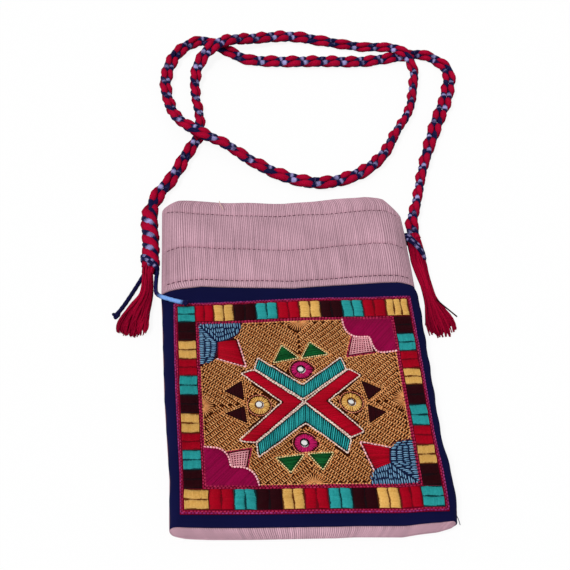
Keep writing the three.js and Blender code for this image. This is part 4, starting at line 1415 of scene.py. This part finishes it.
def motifParts(name, colour, outline, mark=0):
    shape = drawnIn(outline, 0 if name.startswith("corner") else -stitch["grow"])
    level = fieldTop + stitch["pad"] - 0.05
    dense = dict(pitch=0.55, radius=0.37, level=level, arch=0.3)
    spaced = dict(pitch=1.32, radius=0.43, level=level, arch=0.35)
    if name.startswith("chevron"):
        facts = spaced if colour == "teal" else dense
        return [ruled(shape[[0, 5]], shape[[1, 2]], **facts), ruled(shape[[5, 4]], shape[[2, 3]], **facts)]
    if name.startswith("triangle"):
        others = [corner for corner in range(3) if corner != mark]
        facts = dense if colour == "maroon" else dict(dense, pitch=0.95, radius=0.38)
        return [ruled(shape[[mark, others[0]]], shape[[mark, others[1]]], **facts)]
    if name.startswith("corner"):
        # Two lobes that meet at the marked inner corner, each a smooth curve
        outer = shape[[1, 0, len(shape) - 1]]
        lobes = [curveThrough(shape[1 : mark + 1], 6), curveThrough(shape[mark:], 6)]
        inner = np.vstack([lobes[0], lobes[1][1:]])
        if colour == "magenta":
            return [ruled(outer, inner, **dict(dense, pitch=0.5))]
        return cornerStrokes(shape, inner, mark, level, 0.42 if "bottom" in name else 0.36)
    if colour == "blush":
        facts = dict(spaced, pitch=1.4, radius=0.34)
        above = dict(facts, level=level + 0.15)
        return [ruled(shape[[0, 3]], shape[[1, 2]], **facts), ruled(shape[[0, 1]], shape[[3, 2]], **above)]
    return [ruled(shape[[0, 3]], shape[[1, 2]], **dense)]


def filledOutline(name, outline, mark=0):
    # The outline that the stitches fill, with a corner motif's lobes as smooth curves
    if not name.startswith("corner"):
        return drawnIn(outline, -stitch["grow"] + 0.1)
    shape = np.array(outline, float)
    lobes = [curveThrough(shape[1 : mark + 1], 5), curveThrough(shape[mark:], 5)]
    return np.vstack([shape[:1], lobes[0], lobes[1][1:]])


for name, (colour, outline, *mark) in motifs.items():
    parts = motifParts(name, colour, outline, *mark)
    pad = prism(filledOutline(name, outline, *mark), fieldTop, fieldTop + stitch["pad"], 0.3, 0.12)
    pad["finish"] = 1
    # The pad takes the colour's dark tone where there is one, which shows in the gaps between stitches as
    # painted shade
    under = yarns.get(f"{colour}Ground", yarns[colour])
    buildPiece(f"worked_{name}", parts + [pad], [yarns[colour], under], (name,))

# Couched lines round the motifs: their yarn, height over the field, and size of a stitch
lineStyles = {
    "chevron": dict(yarn="cream", rise=0.42, radius=0.5, stitch=1.7, gap=0.0, jitter=0.12),
    "greenTriangle": dict(yarn="paleYellow", rise=0.42, radius=0.42, stitch=1.4, gap=0.2),
    "maroonTriangle": dict(yarn="mustard", rise=0.32, radius=0.36, stitch=1.5, gap=0.2),
    "magentaCorner": dict(yarn="palePink", rise=0.57, radius=0.62, stitch=1.6, gap=0.15),
    "blueCorner": dict(yarn="plum", rise=0.32, radius=0.42, stitch=1.5, gap=0.1),
    "redWedge": dict(yarn="palePink", rise=0.42, radius=0.5, stitch=2.0, gap=0.15),
    "blushWedge": dict(yarn="crimson", rise=0.32, radius=0.42, stitch=1.7),
    "secondLine": dict(yarn="mustard", rise=0.2, radius=0.33, stitch=1.6),
    "borderRun": dict(yarn="mustard", rise=0.15, radius=0.4, stitch=1.7, gap=0.2),
}
outlineSlots = {
    "cream": "blush_thread",
    "palePink": "blush_thread",
    "paleYellow": "mustard_thread",
    "mustard": "mustard_thread",
    "crimson": "magenta_thread",
    "plum": "maroon_thread",
}
outlines = {colour: [] for colour in outlineSlots}


def outlineWith(style, line, closed=True):
    facts = dict(lineStyles[style])
    yarn, rise = facts.pop("yarn"), facts.pop("rise")
    outlines[yarn].append(couched(line, fieldTop + rise, closed=closed, **facts))


for name, (colour, outline, *mark) in motifs.items():
    around = drawnIn(outline, -stitch["line"])
    outside = drawnIn(outline, -stitch["line"] - 0.75)
    low = "bottom" in name
    if name.startswith("chevron"):
        outlineWith("chevron", around)
    elif name.startswith("triangle"):
        outlineWith(f"{colour}Triangle", drawnIn(outline, -0.95))
        outlineWith("secondLine", outside)
    elif colour == "magenta":
        outlineWith("magentaCorner", filledOutline(name, outline, *mark)[1:], closed=False)
    elif colour == "blue":
        curve = drawnIn(filledOutline(name, outline, *mark), -0.45)[1:]
        outlineWith("blueCorner", curve, closed=False)
    elif colour == "red":
        outlineWith("redWedge", around[[1, 0, 3] if low else [1, 2, 3]], closed=False)
        outlineWith("secondLine", outside[[1, 0] if low else [2, 3]], closed=False)
    else:
        outlineWith("blushWedge", around[[0, 1, 2] if low else [0, 3, 2]], closed=False)
        outlineWith("secondLine", outside[[0, 1, 2] if low else [0, 3, 2]], closed=False)

# Short runs beside the border, inset from the field's edge
runInset = (fieldHalf[0] - 1.1, fieldHalf[1] - 1.1)
borderRuns = (
    [(-31, runInset[1]), (27, runInset[1])],
    [(runInset[0], patch["height"] * 0.21), (runInset[0], patch["height"] * -0.2)],
    [(30.6, -runInset[1]), (-28, -runInset[1])],
    [(-runInset[0], patch["height"] * -0.22), (-runInset[0], patch["height"] * 0.17)],
)
for run in borderRuns:
    outlineWith("borderRun", np.array(run) + [0, patch["y"]], closed=False)
for colour, parts in outlines.items():
    buildPiece(f"couched_line_{colour}", parts, [yarns[colour]])
print("motifs worked")

# Open chain-stitch field: ladder-like rows run with the arms of the cross and fold on its axes
field = {
    "pitch": 2.75,
    "step": 1.45,
    "rungHalf": 0.9,
    "rungRadius": 0.33,
    "railRadius": 0.29,
    "armAngle": math.radians(38.5),
    "crossing": (0.3, -37.4),
    "fan": 7.4,
}
fieldCentre = np.array([0, patch["y"]])
fanPlaces = [
    (1.8, patch["y"] + fieldHalf[1]),
    (fieldHalf[0], patch["y"] - 2),
    (0.5, patch["y"] - fieldHalf[1]),
    (-fieldHalf[0], patch["y"] - 3),
]


def chainPlaces():
    places, headings = [], []
    for quarter in range(4):
        tall = quarter % 2 == 0
        lean = field["armAngle"] if tall else math.pi / 2 - field["armAngle"]
        rows = (np.arange(50) + 0.5) * field["pitch"]
        steps = (np.arange(74) + 0.4) * field["step"]
        offset, run = np.meshgrid(rows, steps, indexing="ij")
        run = run + dice.random(50)[:, None] * 0.4
        for sign in (-1, 1):
            sideways = run * math.cos(lean)
            x = sign * sideways
            y = sideways * math.tan(lean) + offset / math.cos(lean)
            turn = -quarter * math.pi / 2
            cosine, sine = math.cos(turn), math.sin(turn)
            quarterPlaces = turned(np.stack([x, y], axis=-1), cosine, sine)
            places.append(quarterPlaces.reshape(-1, 2) + field["crossing"])
            heading = turned(np.array([sign * math.cos(lean), math.sin(lean)]), cosine, sine)
            headings.append(np.tile(heading, (offset.size, 1)))
    places, headings = np.concatenate(places), np.concatenate(headings)
    places = places + 0.4 * np.stack([np.sin(places[:, 1] / 5.3 + 1), np.sin(places[:, 0] / 6.1)], axis=1)
    away = np.abs(places - fieldCentre)
    keep = (away[:, 0] < fieldHalf[0] - 1.6) & (away[:, 1] < fieldHalf[1] - 1.6)
    for name, (colour, outline, *mark) in motifs.items():
        grown = filledOutline(name, outline, *mark) if name.startswith("corner") else drawnIn(outline, -1.6)
        keep &= ~insideOf(grown, places)
    for colour, x, y in mirrors.values():
        keep &= np.hypot(places[:, 0] - x, places[:, 1] - y) > stitch["ringOuter"] + 1.15
    for x, y in fanPlaces:
        keep &= np.hypot(places[:, 0] - x, places[:, 1] - y) > field["fan"] - 0.5
    return places[keep], headings[keep]


def chainStitches():
    # Each link of a row is a rung across it, bowed forwards, and a short stitch along either edge
    places, headings = chainPlaces()
    count = len(places)
    places = places + dice.normal(0, 0.07, places.shape)
    turn = dice.normal(0, 0.1, count)
    normals = np.stack([-headings[:, 1], headings[:, 0]], axis=1)
    shade = dice.random(count)
    level = fieldTop + 0.22
    reach = turned(normals, np.cos(turn), np.sin(turn)) * field["rungHalf"]
    starts, ends = atLevel(places + reach, level), atLevel(places - reach, level)
    rungs = threads(
        starts, ends, field["rungRadius"], arch=0.2, bow=0.22, flat=1.0, shade=shade, places=(0.2, 0.5, 0.8)
    )
    parts = [rungs]
    for side in (-1, 1):
        edge = places + side * normals * (field["rungHalf"] + 0.02) + dice.normal(0, 0.05, places.shape)
        half = headings * field["step"] * 0.56
        low = atLevel(edge - half, level - 0.05)
        high = atLevel(edge + half, level + 0.05)
        # Painted light and shade: one edge's stitches are lighter and the other's darker, a lit and a shaded
        # side to each row
        tone = 0.8 + 0.4 * dice.random(count) if side > 0 else -0.35 + 0.5 * dice.random(count)
        rails = threads(
            low, high, field["railRadius"], arch=0.05, flat=1.0, shade=tone, sides=4, places=(0.3, 0.7)
        )
        parts.append(rails)
    print("chain links", count)
    return parts


def fanParts():
    # A fan of long stitches at the middle of each side
    parts = []
    for number, (x, y) in enumerate(fanPlaces):
        facing = -math.pi / 2 - number * math.pi / 2
        angles = facing + np.linspace(-1.4, 1.4, 15)
        direction = np.stack([np.cos(angles), np.sin(angles)], axis=1)
        starts = np.array([x, y]) + direction * 1.4
        ends = np.array([x, y]) + direction * (field["fan"] + dice.normal(0, 0.4, (len(angles), 1)))
        limit = np.array(fieldHalf) - 1.0
        starts, ends = (fieldCentre + np.clip(place - fieldCentre, -limit, limit) for place in (starts, ends))
        shade = 0.1 + 0.5 * dice.random(len(angles))
        starts, ends = atLevel(starts, fieldTop + 0.2), atLevel(ends, fieldTop + 0.2)
        parts.append(threads(starts, ends, 0.3, arch=0.15, flat=0.9, shade=shade))
    return parts


fieldCloth = slabPart(fieldHalf[0] - 0.1, fieldHalf[1] - 0.1, groundTop, fieldTop)
fieldPiece = buildPiece(
    "field_cloth", [fieldCloth], [cloths["fieldGround"]], ("stitched_field",)
)
buildPiece("chain_stitches", chainStitches(), [yarns["mustard"]], ("stitched_field",))
buildPiece("stitch_fans", fanParts(), [yarns["mustard"]], ("stitched_field",))
print("field stitched")


def ringParts(colour, x, y):
    # Radial stitches over the mirror's edge, from its rim out, with a couched line on their inner
    # ends and a dark one against the glass, set a little towards the upper left; its dark colour is
    # painted shade on the glass's rim
    count = 34 if colour == "magenta" else 26
    angles = (np.arange(count) + dice.normal(0, 0.12, count)) / count * 2 * math.pi
    direction = np.stack([np.cos(angles), np.sin(angles)], axis=1)
    outer = stitch["ringOuter"] - 0.3 + dice.normal(0, 0.16, count)
    if colour == "magenta":
        outer = outer - 0.2 + 1.4 * np.clip(np.cos(angles), 0, 1) ** 10
    centre = np.array([x, y])
    starts = atLevel(centre + direction * stitch["ringInner"], fieldTop + 0.2 + 0.25)
    ends = atLevel(centre + direction * outer[:, None], fieldTop + 0.2)
    parts = [threads(starts, ends, 0.44, arch=0.42, flat=0.85, places=roundedRun)]
    circle = unitCircle(36)
    parts.append(couched(centre + 3.05 * circle, fieldTop + 0.62, radius=0.36, stitch=1.1))
    parts.append(couched(centre + (-0.25, 0.3) + 2.1 * circle, fieldTop + 0.7, radius=0.5, stitch=0.9))
    foot = prism(
        centre + (stitch["ringOuter"] - 0.7) * circle, fieldTop - 0.05, fieldTop + 0.03, shade=0.3, brim=0.02
    )
    parts[2]["finish"] = 1
    foot["finish"] = 2
    return parts + [foot]


# Yarn of the stitches, of the line against the glass, and of the foot, by the ring's colour; the line
# against the glass takes a dark tone as painted shade
ringYarns = {
    "gold": ("gold", "goldGround", "mustard"),
    "magenta": ("brightMagenta", "maroonGround", "magenta"),
}
circle = unitCircle(48)
rims = []
for place, (colour, x, y) in mirrors.items():
    finishes = [yarns[key] for key in ringYarns[colour]]
    parts = ringParts(colour, x, y)
    buildPiece(f"stitched_ring_{place}", parts, finishes, (f"mirror_ring_{place}",))
    node = frame["nodes"][f"mirror_{place}"]
    node.data.materials.clear()
    node.data.materials.append(mirrorGlass)
    reach = stitch["ringOuter"] + 0.5
    point = 1.6 * np.clip(circle[:, :1], 0, 1) ** 10 if colour == "magenta" else 0
    rim = np.array([x, y]) + (reach + point) * circle
    rims.append(couched(rim, fieldTop + 0.2, radius=0.28, stitch=1.4))
buildPiece("couched_line_rings", rims, [yarns["orangePink"]])
print("rings and mirrors set")


# Wraps of satin that bind the plait's ends, and loose threads
def wrapLine(centre, width, thickness, start, end, turns, slope):
    # A flat helix round the bundle: x and z go round while y goes from start to end
    way = np.linspace(0, 1, int(30 * turns))
    angle = way * turns * 2 * math.pi
    x = centre + np.cos(angle) * width / 2
    y = start + (end - start) * way - np.cos(angle) * width / 2 * slope
    z = thickness / 2 + np.sin(angle) * thickness / 2 + 0.3
    return np.stack([x, y, np.maximum(z, 1.2)], axis=1)


wraps = {
    "left": dict(centre=-83.6, width=9.2, thickness=6.8, start=68.4, end=63.8, turns=2, slope=1.0),
    "right": dict(centre=83.4, width=9.6, thickness=7.0, start=80, end=75.2, turns=2.5, slope=1.75),
}
leadIn = [(-80.2, 66.2, 5.0), (-79.0, 62.6, 4.2), (-79.3, 59.6, 2.8), (-79.7, 57.2, 2.4)]
for name, facts in wraps.items():
    line = wrapLine(**facts)
    # Painted highlight: short glints on the satin only where the wrap passes over the top
    paintedGlint = np.clip(np.sin(np.arange(len(line)) * 1.35) * 1.4 - 0.5, 0, 1) * (line[:, 2] > 4)
    tone = (-0.9 + 1.6 * paintedGlint)[None]
    parts = [tubes(line[None], 1.15, shade=tone, ridges=3, ridgeDepth=0.05, twist=2.2, paintedTopLight=0.15)]
    if name == "left":
        parts.append(tubes(curveThrough(leadIn, 5)[None], 1.25, shade=-0.9, **satinForm, paintedTopLight=0.1))
    buildPiece(f"satin_wrap_{name}", parts, [strapFinishes["satin"]], lay=False)
looseThreads = {
    "white": (
        [(-39.6, 109.6, 11.8), (-39.2, 106.8, 12.0), (-38.0, 104.4, 11.9), (-37.9, 102.8, 11.7)],
        "cream",
        0.26,
    ),
    "dark": ([(89.8, 36.5, 4.6), (93.2, 32.4, 4.2), (97.0, 28.8, 3.4), (101.2, 24.6, 2.6)], "maroon", 0.45),
    "navy": ([(74.6, -103.4, 6.6), (75.8, -105.8, 5.4), (76.6, -108.8, 4.2)], "blueGround", 0.2),
}
for name, (line, colour, radius) in looseThreads.items():
    strand = tubes(curveThrough(line, 6)[None], radius, sides=6)
    buildPiece(f"loose_thread_{name}", [strand], [yarns[colour]], lay=False)
print("wraps bound")


# Studio: a pale floor, soft light and a white world
def directRays(tree):
    # One where a ray shows the place itself, nought where it lights the pouch
    rays = addNode(tree, "ShaderNodeLightPath")
    seen = sums(tree, "MAXIMUM", rays.outputs["Is Camera Ray"], rays.outputs["Is Glossy Ray"])
    return sums(tree, "MAXIMUM", seen, rays.outputs["Is Transmission Ray"])


# Lengths in metres, angles in degrees
studio = {
    "floorHalf": 4.0,
    "floorLevel": -0.0006,
    "floorWhite": 0.94,
    "floorGlow": 0.9,
    "skyStrength": 0.5,
    "windowStrength": 2.0,
    "windowSpread": 18,
    "windowTilt": (16, -30),
}


def paleFloor():
    size = studio["floorHalf"]
    mesh = bpy.data.meshes.new("floor")
    corners = [(-size, -size, 0), (size, -size, 0), (size, size, 0), (-size, size, 0)]
    mesh.from_pydata(corners, [], [(0, 1, 2, 3)])
    floor = bpy.data.objects.new("floor", mesh)
    floor.location.z = studio["floorLevel"]
    bpy.context.scene.collection.objects.link(floor)
    material = bpy.data.materials.new("floorWhite")
    material.use_nodes = True
    tree = material.node_tree
    tree.nodes.clear()
    diffuse = addNode(tree, "ShaderNodeBsdfDiffuse")
    diffuse.inputs["Color"].default_value = (*[studio["floorWhite"]] * 3, 1)
    glow = addNode(tree, "ShaderNodeEmission")
    blend = addNode(tree, "ShaderNodeMixShader")
    plug(tree, sums(tree, "MULTIPLY", directRays(tree), studio["floorGlow"]), blend.inputs[0])
    plug(tree, diffuse.outputs[0], blend.inputs[1])
    plug(tree, glow.outputs[0], blend.inputs[2])
    plug(tree, blend.outputs[0], addNode(tree, "ShaderNodeOutputMaterial").inputs[0])
    mesh.materials.append(material)


def whiteWorld():
    world = bpy.data.worlds.new("studio")
    world.use_nodes = True
    tree = world.node_tree
    tree.nodes.clear()
    lit = addNode(tree, "ShaderNodeBackground")
    lit.inputs["Strength"].default_value = studio["skyStrength"]
    white = addNode(tree, "ShaderNodeBackground")
    for background in (lit, white):
        background.inputs["Color"].default_value = (1, 1, 1, 1)
    blend = addNode(tree, "ShaderNodeMixShader")
    plug(tree, directRays(tree), blend.inputs[0])
    plug(tree, lit.outputs[0], blend.inputs[1])
    plug(tree, white.outputs[0], blend.inputs[2])
    plug(tree, blend.outputs[0], addNode(tree, "ShaderNodeOutputWorld").inputs[0])
    bpy.context.scene.world = world


def softWindow():
    lamp = bpy.data.lights.new("window", "SUN")
    lamp.energy = studio["windowStrength"]
    lamp.angle = math.radians(studio["windowSpread"])
    window = bpy.data.objects.new("window", lamp)
    window.rotation_euler = (*np.radians(studio["windowTilt"]), 0)
    bpy.context.scene.collection.objects.link(window)


paleFloor()
whiteWorld()
softWindow()
bpy.context.scene.view_settings.view_transform = "Standard"
print("studio lit")
